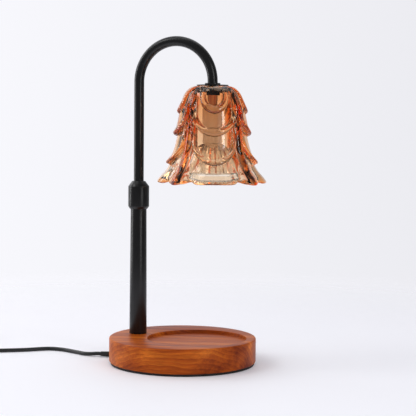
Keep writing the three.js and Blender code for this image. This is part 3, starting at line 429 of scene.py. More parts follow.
@dataclass(frozen=True)
class PartPaintedBrass(Finish):
    """Turned brass, left bare below a level and painted satin black above it."""

    paint_level: float = 283.7
    bare: str = "B48A68"
    paint: str = "171718"
    mark_mm: float = 0.5
    rough_levels: tuple[float, float] = (0.24, 0.38)

    def build(self) -> bpy.types.Material:
        """Makes the nodes: a sharp change from bare metal to paint at the level.

        Returns:
            The material.
        """
        material, tree = self.start()
        place = add_node(tree, "ShaderNodeTexCoord").outputs["Object"]
        level = add_node(tree, "ShaderNodeSeparateXYZ", {0: place})
        painted = add_node(tree, "ShaderNodeMath", {
            0: level.outputs["Z"], 1: self.paint_level * MM}, operation="GREATER_THAN")
        marks = add_node(tree, "ShaderNodeTexNoise", {
            "Vector": place, "Scale": 1 / (self.mark_mm * MM), "Detail": 3.0})
        rough = add_node(tree, "ShaderNodeMapRange", {
            "Value": marks.outputs["Fac"], "To Min": self.rough_levels[0],
            "To Max": self.rough_levels[1]})
        colour = add_node(tree, "ShaderNodeMix", {
            "Factor": painted.outputs["Value"], 6: linear(self.bare), 7: linear(self.paint)},
            data_type="RGBA")
        metal = add_node(tree, "ShaderNodeMath", {
            0: 1.0, 1: painted.outputs["Value"]}, operation="SUBTRACT")
        shader = add_node(tree, "ShaderNodeBsdfPrincipled", {
            "Base Color": colour.outputs[2], "Roughness": rough.outputs["Result"],
            "Metallic": metal.outputs["Value"]})
        add_node(tree, "ShaderNodeOutputMaterial", {"Surface": shader.outputs["BSDF"]})
        return material


# Oiled hardwood: warm red-brown with dark bands along the grain and a low sheen.
WOOD = OiledWood("stained_rubberwood", "wood")
# Brass fitting whose flange is painted with the arm, and whose stem is bare and warm.
PAINTED_BRASS = PartPaintedBrass("part_painted_brass", "brass")
# Powder coat on steel: near black, satin, with the faint orange peel of baked powder.
BLACK_PAINT = PlainFinish("satin_black_powder_coat", "black_paint", "121213", "0C0C0D", 0.3,
                          grain_mm=0.5, grain_depth=0.008, specular=0.4)
# Moulded nitrile rubber: dull dark grey, faintly mottled.
RUBBER = PlainFinish("moulded_rubber", "rubber", "1B1B1B", "131313", 0.75, grain_mm=0.35,
                     grain_depth=0.15)
# Bright zinc plate on steel: grey mirror with a soft cloudy spangle.
ZINC = PlainFinish("bright_zinc_plate", "zinc", "C9CCD0", "AEB2B8", 0.28, 1.0, grain_mm=0.3,
                   grain_depth=0.04, blotch_mm=3.0)
# Turned brass, slightly dulled: warm yellow metal.
BRASS = PlainFinish("turned_brass", "brass", "D1A754", "B98C3E", 0.3, 1.0, grain_mm=0.25,
                    grain_depth=0.05)
# Natural nylon: waxy off-white.
NYLON = PlainFinish("natural_nylon", "nylon", "E9E4D6", "DCD5C4", 0.45, grain_mm=0.5,
                    grain_depth=0.04)
# Pressed soda-lime glass: pale copper where it is thin, deep orange in the ribs with painted
# reflections as dark patches there, and painted shade at the crown.
AMBER_GLASS = PressedGlass("pressed_amber_glass", "amber_glass")
# Clear bulb glass: all but unseen, with a soft haze.
CLEAR_GLASS = ClearGlass("clear_bulb_glass", "clear_glass")
# Vacuum-coated reflector: bright warm mirror.
REFLECTOR_COAT = PlainFinish("vacuum_aluminium_mirror", "mirror_coat", "FFFBF2", "F6EEE2", 0.14,
                             0.8, grain_mm=1.2, grain_depth=0.03)
# Steatite ceramic: tan-white with a soft gloss, which takes the amber of the glass.
CERAMIC = PlainFinish("steatite_ceramic", "ceramic", "EFE6D6", "E0D3BE", 0.42, grain_mm=0.4,
                      grain_depth=0.08)
# Moulded ABS: near black, satin, with fine spark-eroded texture.
BLACK_PLASTIC = PlainFinish("moulded_black_abs", "black_plastic", "1A1A1B", "141415", 0.4,
                            grain_mm=0.45, grain_depth=0.1)
# Blackened fittings in the glass: dull, so that they read as a solid black through it.
DULL_BLACK = PlainFinish("dull_black_abs", "black_plastic", "0E0E0E", "090909", 0.6,
                         grain_mm=0.45, grain_depth=0.05, specular=0.06)
# Extruded PVC sheath: smooth black with a slight sheen.
CORD_PVC = PlainFinish("black_pvc_sheath", "cord_jacket", "171717", "101010", 0.42,
                       grain_mm=0.8, grain_depth=0.05)
# Silicone wire insulation: brown-red, dull.
SILICONE = PlainFinish("silicone_insulation", "insulation", "8E4A2C", "7B3D22", 0.55,
                       grain_mm=0.5, grain_depth=0.05)
# Glass-epoxy circuit board: green resin with a faint grain.
CIRCUIT_BOARD = PlainFinish("glass_epoxy_board", "board", "2D6B45", "235638", 0.4, grain_mm=0.7,
                            grain_depth=0.15)


# Mesh tools


def soft_step(share: float) -> float:
    """Gives a smooth step from 0 to 1 as the share goes from 0 to 1, and holds it outside."""
    held = min(max(share, 0), 1)
    return held * held * (3 - 2 * held)


def spun(profile: Profile, steps: int = 96, centre: tuple[float, float] = (0.0, 0.0)
         ) -> bmesh.types.BMesh:
    """Spins a profile of (radius, level) points about a vertical axis.

    Args:
        profile: the points; the first and last lie on the axis, or are the same point.
        steps: how many steps make the full turn.
        centre: where the axis stands.

    Returns:
        The closed shape, in millimetres.
    """
    bm = bmesh.new()
    closed = profile[0] == profile[-1]
    points = profile[:-1] if closed else profile
    verts = [bm.verts.new((radius, 0.0, level)) for radius, level in points]
    edges = [bm.edges.new(pair) for pair in zip(verts, verts[1:])]
    if closed:
        edges.append(bm.edges.new((verts[-1], verts[0])))
    bmesh.ops.spin(bm, geom=verts + edges, cent=(0, 0, 0), axis=(0, 0, 1), angle=2 * math.pi,
                   steps=steps, use_merge=True, use_duplicate=False)
    bmesh.ops.remove_doubles(bm, verts=bm.verts, dist=SEAM_REACH)
    bmesh.ops.translate(bm, verts=bm.verts, vec=(*centre, 0.0))
    return bm


def extruded_loop(bm: bmesh.types.BMesh, loop: list[bmesh.types.BMEdge], rise: float
                  ) -> list[bmesh.types.BMEdge]:
    """Extrudes a loop of edges along Z.

    Args:
        bm: the shape.
        loop: its open loop of edges.
        rise: how far it goes, below zero for down.

    Returns:
        The new loop.
    """
    made = bmesh.ops.extrude_edge_only(bm, edges=loop)["geom"]
    verts = {g for g in made if isinstance(g, bmesh.types.BMVert)}
    bmesh.ops.translate(bm, verts=list(verts), vec=(0, 0, rise))
    return [g for g in made if isinstance(g, bmesh.types.BMEdge) and set(g.verts) <= verts]


def washer(inner: float, outer: float, levels: tuple[float, float]) -> Profile:
    """Gives the section of a washer, or of a disc where its hole's radius is 0.

    Args:
        inner: the hole's radius.
        outer: the washer's radius.
        levels: its lower and upper level.

    Returns:
        The section as (radius, level).
    """
    bottom, top = levels
    profile = [(inner, bottom), (outer, bottom), (outer, top), (inner, top)]
    return profile + profile[:1] if inner else profile


def soften(bm: bmesh.types.BMesh, width: float, segments: int = 2) -> None:
    """Bevels the sharp edges.

    Args:
        bm: the shape.
        width: the bevel's width in millimetres.
        segments: the bevel's segments.
    """
    bm.normal_update()
    sharp = [e for e in bm.edges if len(e.link_faces) == 2
             and e.calc_face_angle(0.0) > math.radians(SHARP_DEGREES)]
    bmesh.ops.bevel(bm, geom=sharp, offset=width, offset_type="OFFSET", segments=segments,
                    profile=0.5, affect="EDGES", clamp_overlap=True, material=-1)


def finish_piece(name: str, bm: bmesh.types.BMesh, finish: Finish, body: Body,
                 replaced: tuple[str, ...], smooth: float = SMOOTH_DEGREES
                 ) -> bpy.types.Object:
    """Turns a shape into a finished piece of the lamp, which stands for its CAD nodes.

    Args:
        name: the piece's name.
        bm: the shape in millimetres, freed afterwards.
        finish: its finish.
        body: the body that it rides on.
        replaced: the CAD nodes that it stands for.
        smooth: the angle, in degrees, above which an edge stays sharp.

    Returns:
        The object.
    """
    bmesh.ops.recalc_face_normals(bm, faces=bm.faces)
    bmesh.ops.scale(bm, verts=bm.verts, vec=(MM, MM, MM))
    mesh = bpy.data.meshes.new(name)
    bm.to_mesh(mesh)
    bm.free()
    mesh.shade_smooth()
    mesh.set_sharp_from_angle(angle=math.radians(smooth))
    mesh.materials.append(finish.material())
    piece = bpy.data.objects.new(name, mesh)
    bpy.context.scene.collection.objects.link(piece)
    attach(piece, body.value)
    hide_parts(*replaced)
    LOG.info("%s: %d faces on %s", name, len(mesh.polygons), body.value)
    return piece


def refined_copy(name: str, node: str, finish: Finish, body: Body, bevel: float = 0.0
                 ) -> bpy.types.Object:
    """Copies a CAD node as a merged mesh with softened edges, and stands it for the node.

    Args:
        name: the piece's name.
        node: the CAD node.
        finish: its finish.
        body: the body that it rides on.
        bevel: the width of the edges' bevel in millimetres, or 0 for none.

    Returns:
        The object.
    """
    bm = bmesh.new()
    bm.from_mesh(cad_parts[node].data)
    bmesh.ops.scale(bm, verts=bm.verts, vec=(1 / MM, 1 / MM, 1 / MM))
    bmesh.ops.remove_doubles(bm, verts=bm.verts, dist=WELD_REACH)
    bmesh.ops.dissolve_limit(bm, angle_limit=math.radians(FLAT_DEGREES), verts=bm.verts,
                             edges=bm.edges)
    if bevel:
        soften(bm, bevel)
    return finish_piece(name, bm, finish, body, (node,))


def keep_nodes(finish: Finish, *nodes: str) -> None:
    """Gives CAD nodes that keep their own shape a finish.

    Args:
        finish: their finish.
        *nodes: the CAD nodes.
    """
    for node in nodes:
        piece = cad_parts[node]
        piece.data.materials.clear()
        piece.data.materials.append(finish.material())
        LOG.info("%s keeps its shape", node)


# Mains lead


@dataclass
class MainsLead:
    """The mains lead: strain relief, free cord, inline dimmer, put-away coil and plug."""

    cord_diameter: float = 4.0
    column_x: float = -51.0
    base_radius: float = 75.0
    exit_turn: float = math.radians(10.0)
    boot_height: float = 3.2
    boot_outside: float = 16.0
    gap: float = 0.2
    lay: float = 2.1
    coil_centre: tuple[float, float] = (-292.0, 24.0)
    coil_inner: float = 16.6
    coil_pitch: float = 4.9
    coil_rise: float = 4.6
    coil_dip: float = 0.6
    turns_in: float = 3.5
    climb_turns: float = 0.5
    turns_out: float = 3.5
    loop_steps: int = 24
    section_steps: int = 4
    dimmer_start: tuple[float, float] = (-226.0, -44.0)
    dimmer_length: float = 66.0
    dimmer_parting: float = 7.5
    plug_axis: float = 6.85
    plug_lead: float = 18.0
    boot_edge: float = 0.3
    case_edge: float = 0.25
    wheel_edge: float = 0.12
    plug_edge: float = 0.3
    pin_edge: float = 0.15

    def past_boot(self, distance: float) -> Point:
        """Gives the cord's point at a distance past the boot's tip, in line with it.

        Args:
            distance: the distance past the tip.

        Returns:
            The point.
        """
        side = self.column_x * math.sin(self.exit_turn)
        reach = math.sqrt(self.base_radius ** 2 - side ** 2)
        reach += self.column_x * math.cos(self.exit_turn) + self.boot_outside + distance
        return (self.column_x - reach * math.cos(self.exit_turn),
                -reach * math.sin(self.exit_turn), self.boot_height)

    def dimmer_route(self) -> list[Point]:
        """Gives the route from the boot to the dimmer, along the table.

        Returns:
            The centre line's points in millimetres.
        """
        x, y = self.dimmer_start
        return [
            self.past_boot(self.gap), self.past_boot(self.gap + self.cord_diameter),
            (-102.5, -8.9, 2.5), (-110, -8.2, self.lay), (-117.5, -5.6, self.lay),
            (-128.4, -1.7, self.lay), (-140, 2, self.lay), (-150, 2.8, self.lay),
            (-159, 0.4, self.lay), (-166, -5, self.lay), (-172, -11.5, self.lay),
            (-178, -17.3, self.lay), (-185, -22.4, self.lay), (-192, -27.4, self.lay),
            (-199, -32, self.lay), (-206, -36.6, 2.6), (-213.5, -41, 4.7), (-220, -43.6, 7),
            (x + self.gap + self.cord_diameter, y, self.dimmer_parting),
            (x + self.gap, y, self.dimmer_parting),
        ]

    def coil_point(self, turns: float) -> Point:
        """Gives a point of the coil: in along the lower layer, up, and out along the upper.

        Args:
            turns: how many turns from the coil's start.

        Returns:
            The point.
        """
        climb = min(max((turns - self.turns_in) / self.climb_turns, 0), 1)
        inward = max(self.turns_in - turns, 0)
        outward = max(turns - self.turns_in - self.climb_turns, 0)
        radius = self.coil_inner + self.coil_pitch * (inward + outward)
        radius -= self.coil_dip * math.sin(climb * math.pi)
        angle = (turns - 0.25) * 2 * math.pi
        return (self.coil_centre[0] + radius * math.cos(angle),
                self.coil_centre[1] + radius * math.sin(angle),
                self.lay + self.coil_rise * soft_step(climb))

    def plug_route(self) -> list[Point]:
        """Gives the route from the dimmer through the coil to the plug.

        Returns:
            The centre line's points in millimetres.
        """
        x = self.dimmer_start[0] - self.dimmer_length
        y = self.dimmer_start[1]
        entry_y = self.coil_centre[1] - self.coil_inner - self.coil_pitch * self.turns_in
        entry_x = self.coil_centre[0] - self.cord_diameter
        straight = self.gap + self.cord_diameter
        before = [
            (x - self.gap, y, self.dimmer_parting), (x - straight, y, self.dimmer_parting),
            (-303, -43.6, 5.6), (-310, -41.4, 3.4), (-315.6, -37, self.lay),
            (-318.6, -31, self.lay), (-319.4, -24.6, self.lay), (-317.4, -18.6, self.lay),
            (-313.2, -13.6, self.lay), (-307.6, entry_y - 0.9, self.lay),
            (entry_x - straight, entry_y, self.lay), (entry_x, entry_y, self.lay),
        ]
        total = self.turns_in + self.climb_turns + self.turns_out
        steps = round(total * self.loop_steps)
        coil = [self.coil_point(i / steps * total) for i in range(steps + 1)]
        exit_y = self.coil_centre[1] + self.coil_inner + self.coil_pitch * self.turns_out
        rear = entry_x - self.plug_lead
        after = [
            (entry_x, exit_y, self.lay + self.coil_rise),
            (entry_x - straight, exit_y, self.lay + self.coil_rise),
            (rear + straight, exit_y, self.plug_axis), (rear + self.gap, exit_y, self.plug_axis),
        ]
        return before + coil + after

    def cord(self, name: str, route: list[Point], nodes: tuple[str, ...]) -> bpy.types.Object:
        """Makes a round cord along a route.

        Args:
            name: the piece's name.
            route: the centre line's points in millimetres.
            nodes: the CAD nodes that it stands for.

        Returns:
            The curve object.
        """
        curve = bpy.data.curves.new(name, "CURVE")
        curve.dimensions = "3D"
        curve.bevel_depth = self.cord_diameter / 2 * MM
        curve.bevel_resolution = self.section_steps
        curve.resolution_u = self.section_steps
        curve.use_fill_caps = True
        spline = curve.splines.new("BEZIER")
        spline.bezier_points.add(len(route) - 1)
        for handle, point in zip(spline.bezier_points, route):
            handle.co = Vector(point) * MM
            handle.handle_left_type = handle.handle_right_type = "AUTO"
        curve.materials.append(CORD_PVC.material())
        piece = bpy.data.objects.new(name, curve)
        bpy.context.scene.collection.objects.link(piece)
        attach(piece, Body.BASE.value)
        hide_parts(*nodes)
        LOG.info("%s: %d points", name, len(route))
        return piece

    def build_cords(self) -> None:
        dimmer = self.dimmer()
        plug = self.plug()
        run = self.cord("cord_run", self.dimmer_route(), ("cord_to_dimmer",))
        [v * MM for v in self.past_boot(0.0)]
        coiled = self.cord("cord_coiled", self.plug_route(),
                           ("cord_to_coil", "cord_coil", "cord_to_plug"))

    def build_boot(self) -> None:
        """Makes the tapered strain relief from its solid, with softened edges."""
        refined_copy("strain_relief", "strain_boot", RUBBER, Body.BASE, self.boot_edge)

    def dimmer(self) -> list[bpy.types.Object]:
        """Dresses the inline dimmer's pieces.

        Returns:
            The case's halves, the thumb wheel, the two screws and the board.
        """
        case, wheel = self.case_edge, self.wheel_edge
        pieces = [
            refined_copy("dimmer_case_top", "dimmer_top", BLACK_PLASTIC, Body.BASE, case),
            refined_copy("dimmer_case_bottom", "dimmer_bottom", BLACK_PLASTIC, Body.BASE, case),
            refined_copy("dimmer_thumb_wheel", "dimmer_wheel", BLACK_PLASTIC, Body.WHEEL, wheel),
            refined_copy("dimmer_screw_left", "dimmer_screw_1", ZINC, Body.BASE),
            refined_copy("dimmer_screw_right", "dimmer_screw_2", ZINC, Body.BASE),
        ]
        keep_nodes(CIRCUIT_BOARD, "dimmer_board")
        return pieces + [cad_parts["dimmer_board"]]

    def plug(self) -> list[bpy.types.Object]:
        """Dresses the plug's pieces.

        Returns:
            The plug's body and its two contacts.
        """
        return [
            refined_copy("plug_shell", "plug_body", BLACK_PLASTIC, Body.BASE, self.plug_edge),
            refined_copy("plug_contact_1", "plug_pin_1", ZINC, Body.BASE, self.pin_edge),
            refined_copy("plug_contact_2", "plug_pin_2", ZINC, Body.BASE, self.pin_edge),
        ]


# Stand


@dataclass
class Stand:
    """The wooden base, the column and the clamp collar."""

    base_radius: float = 75.0
    wood_bottom: float = 2.2
    base_top: float = 27.0
    edge: float = 1.6
    edge_segments: int = 4
    recess_edge: float = 0.5
    recess_radius: float = 50.5
    recess_x: float = 16.0
    recess_depth: float = 3.5
    column_x: float = -51.0
    foot_radius: float = 9.0
    head_radius: float = 8.15
    column_bore: float = 7.0
    column_bottom: float = 27.2
    column_top: float = 162.4
    channel_turn: float = math.radians(10.0)
    channel_size: Point = (30.0, 6.4, 8.4)
    channel_level: float = 2.2
    pocket_radius: float = 13.0
    pocket_depth: float = 20.0
    pocket_level: float = 8.0
    collar_bottom: float = 156.4
    collar_top: float = 185.2
    collar_radius: float = 10.8
    collar_mouth: tuple[float, float] = (8.45, 8.9)
    mouth_height: float = 2.8
    nose_radii: tuple[float, float] = (5.4, 6.75)
    nose_height: float = 5.4
    nose_lip: float = 2.2
    cone_radius: float = 6.6
    cone_drop: float = 6.7
    rim_steps: int = 192
    rim_slack: float = 0.05
    corner_degrees: float = 60.0
    pocket_steps: int = 64
    pad_edge: float = 0.3
    tube_edge: float = 0.3
    collar_edge: float = 0.5
    collar_edge_segments: int = 3

    def build(self) -> None:
        """Makes every piece of the stand."""
        self.wooden_base()
        refined_copy("base_rubber_pad", "base_pad", RUBBER, Body.BASE, self.pad_edge)
        self.column_tube()
        self.collar()
        keep_nodes(ZINC, "lock_washer", "hex_nut", "hollow_stud", "column_foot")
        keep_nodes(BRASS, "column_head")
        keep_nodes(NYLON, "grip_collet")
        keep_nodes(SILICONE, "base_lead")

    def wooden_base(self) -> None:
        """Makes the disc with its recess, and cuts the cord's channel and the nut's pocket."""
        bm = bmesh.new()
        rim = bmesh.ops.create_circle(bm, cap_ends=False, radius=self.base_radius,
                                      segments=self.rim_steps,
                                      matrix=Matrix.Translation((0, 0, self.base_top)))["verts"]
        recess = bmesh.ops.create_circle(
            bm, cap_ends=False, radius=self.recess_radius, segments=self.rim_steps,
            matrix=Matrix.Translation((self.recess_x, 0, self.base_top)))["verts"]
        rim_edges = [e for e in bm.edges if e.verts[0] in set(rim)]
        recess_edges = [e for e in bm.edges if e.verts[0] in set(recess)]
        bmesh.ops.bridge_loops(bm, edges=rim_edges + recess_edges)
        for loop, rise in ((rim_edges, self.wood_bottom - self.base_top),
                           (recess_edges, -self.recess_depth)):
            bmesh.ops.contextual_create(bm, geom=extruded_loop(bm, loop, rise))
        corner = math.radians(self.corner_degrees)
        for reach, axis_x, width in ((self.base_radius, 0.0, self.edge),
                                     (self.recess_radius, self.recess_x, self.recess_edge)):
            edges = [e for e in bm.edges if e.calc_face_angle(0) > corner and all(
                abs(math.hypot(v.co.x - axis_x, v.co.y) - reach) < self.rim_slack
                for v in e.verts)]
            bmesh.ops.bevel(bm, geom=edges, offset=width, segments=self.edge_segments,
                            profile=0.5, affect="EDGES", material=-1)
        cutter = self.channel_cutter()
        bmesh.ops.recalc_face_normals(bm, faces=bm.faces)
        finish_piece("wooden_base", cut_away(bm, cutter), WOOD, Body.BASE, ("base_block",))

    def channel_cutter(self) -> bmesh.types.BMesh:
        """Makes the shape that the cord's channel and the nut's pocket take from the wood.

        Returns:
            The channel's block and the pocket's drum, in one mesh.
        """
        bm = bmesh.new()
        slot = bmesh.ops.create_cube(bm, size=1.0)["verts"]
        bmesh.ops.scale(bm, verts=slot, vec=self.channel_size)
        bmesh.ops.translate(bm, verts=slot,
                            vec=(-self.channel_size[0] / 2, 0, self.channel_level))
        bmesh.ops.rotate(bm, verts=slot, cent=(0, 0, 0),
                         matrix=Matrix.Rotation(self.channel_turn, 3, "Z"))
        bmesh.ops.translate(bm, verts=slot, vec=(self.column_x, 0, 0))
        bmesh.ops.create_cone(
            bm, cap_ends=True, segments=self.pocket_steps, radius1=self.pocket_radius,
            radius2=self.pocket_radius, depth=self.pocket_depth,
            matrix=Matrix.Translation((self.column_x, 0, self.pocket_level)))
        return bm

    def column_tube(self) -> None:
        """Makes the tapered tube."""
        inner = self.column_bore
        bm = spun([(inner, self.column_bottom), (self.foot_radius, self.column_bottom),
                   (self.head_radius, self.column_top), (inner, self.column_top),
                   (inner, self.column_bottom)], centre=(self.column_x, 0))
        soften(bm, self.tube_edge)
        finish_piece("column_tube", bm, BLACK_PAINT, Body.BASE, ("lower_column",))

    def collar(self) -> None:
        """Makes the clamp collar with its conical nose."""
        bottom, top = self.collar_bottom, self.collar_top
        bore, foot = self.collar_mouth
        hole, tip = self.nose_radii
        bm = spun([
            (bore, bottom), (foot, bottom), (self.collar_radius, bottom + self.mouth_height),
            (self.collar_radius, top - self.nose_height), (tip, top), (hole, top),
            (hole, top - self.nose_lip), (self.cone_radius, top - self.nose_lip),
            (bore, top - self.cone_drop), (bore, bottom)], centre=(self.column_x, 0))
        soften(bm, self.collar_edge, self.collar_edge_segments)
        finish_piece("clamp_collar_shell", bm, BLACK_PAINT, Body.COLLAR, ("clamp_collar",))


def cut_away(solid: bmesh.types.BMesh, cutter: bmesh.types.BMesh) -> bmesh.types.BMesh:
    """Takes one closed shape from another.

    Args:
        solid: the shape that is cut, freed afterwards.
        cutter: the shape that is taken away, freed afterwards.

    Returns:
        What is left.
    """
    objects = []
    for name, bm in (("solid", solid), ("cutter", cutter)):
        mesh = bpy.data.meshes.new(name)
        bm.to_mesh(mesh)
        bm.free()
        objects.append(bpy.data.objects.new(name, mesh))
        bpy.context.scene.collection.objects.link(objects[-1])
    boolean = objects[0].modifiers.new("cut", "BOOLEAN")
    boolean.operation = "DIFFERENCE"
    boolean.solver = "EXACT"
    boolean.use_self = True
    boolean.object = objects[1]
    bpy.context.view_layer.update()
    evaluated = objects[0].evaluated_get(bpy.context.evaluated_depsgraph_get())
    left = bmesh.new()
    left.from_mesh(evaluated.to_mesh())
    evaluated.to_mesh_clear()
    for piece in objects:
        bpy.data.objects.remove(piece)
    return left


# Arm


@dataclass
class Arm:
    """The crooked arm, its bush and rings, and the lead in it."""

    column_x: float = -51.0
    tube_radius: float = 5.1
    bore_radius: float = 3.9
    bottom: float = 105.2
    arch_level: float = 286.8
    arch_radius: float = 41.0
    end_level: float = 285.6
    section_steps: int = 40
    arch_steps: int = 56

    def build(self) -> None:
        """Makes every piece of the arm."""
        self.tube()
        keep_nodes(ZINC, "arm_ring_lower", "arm_ring_upper")
        keep_nodes(NYLON, "glide_bush")
        keep_nodes(SILICONE, "arm_lead")

    def tube(self) -> None:
        """Makes the tube: a ring extruded up, spun over the arch and extruded down."""
        bm = bmesh.new()
        place = Matrix.Translation((self.column_x, 0, self.bottom))
        bmesh.ops.create_circle(bm, cap_ends=False, radius=self.tube_radius,
                                segments=self.section_steps, matrix=place)
        loop = extruded_loop(bm, list(bm.edges), self.arch_level - self.bottom)
        centre = (self.column_x + self.arch_radius, 0, self.arch_level)
        spun_geometry = bmesh.ops.spin(
            bm, geom=loop, cent=centre, axis=(0, 1, 0), angle=math.pi, steps=self.arch_steps,
            use_duplicate=False)["geom_last"]
        loop = [g for g in spun_geometry if isinstance(g, bmesh.types.BMEdge)]
        extruded_loop(bm, loop, self.end_level - self.arch_level)
        bmesh.ops.recalc_face_normals(bm, faces=bm.faces)
        bmesh.ops.solidify(bm, geom=bm.faces, thickness=self.tube_radius - self.bore_radius)
        finish_piece("arm_pipe", bm, BLACK_PAINT, Body.ARM, ("arm_tube",))


# Shade


@dataclass(frozen=True)
class Scale:
    """One U-shaped scale of a column: its outline, how far it stands out and how it leans."""

    half_width: float
    curve: float
    bottom: float
    lift: float
    start_share: float
    lean_power: float
    bead_width: float = 5.0
    bead_height: float = 2.0
    bead_spread: float = 0.2

    def inside(self, across: float, drop: float) -> float:
        """Gives how far inside the outline a place lies.

        Args:
            across: the place's distance from the column's middle line.
            drop: its drop below the shade's top.

        Returns:
            The distance in millimetres, below zero outside.
        """
        sunk = max(drop - (self.bottom - self.curve), 0) / self.curve
        reach = math.hypot(across / self.half_width, sunk)
        return (1 - reach) * min(self.half_width, self.curve)

    def height(self, across: float, drop: float, edge_width: float) -> float:
        """Gives how far the scale stands out at a place.

        Args:
            across: the place's distance from the column's middle line.
            drop: its drop below the shade's top.
            edge_width: how wide the scale's rounded edge is.

        Returns:
            The height in millimetres.
        """
        inside = self.inside(across, drop)
        if inside <= 0:
            return 0.0
        edge = 1 - min(inside / edge_width, 1)
        sunk = max(drop - (self.bottom - self.curve), 0) / self.curve
        round_at = 2 * inside / (self.bead_width * (1 + self.bead_spread * sunk)) - 1
        bead = math.sqrt(max(1 - round_at * round_at, 0))
        lean = min(drop / (self.bottom - edge_width), 1) ** self.lean_power
        share = self.start_share + (1 - self.start_share) * lean
        return (self.lift * math.sqrt(1 - edge * edge) + self.bead_height * bead) * share


class Face(int, Enum):
    """The face of the glass that a point of its section belongs to."""

    STILL = 0
    INNER = 1
    OUTER = 2


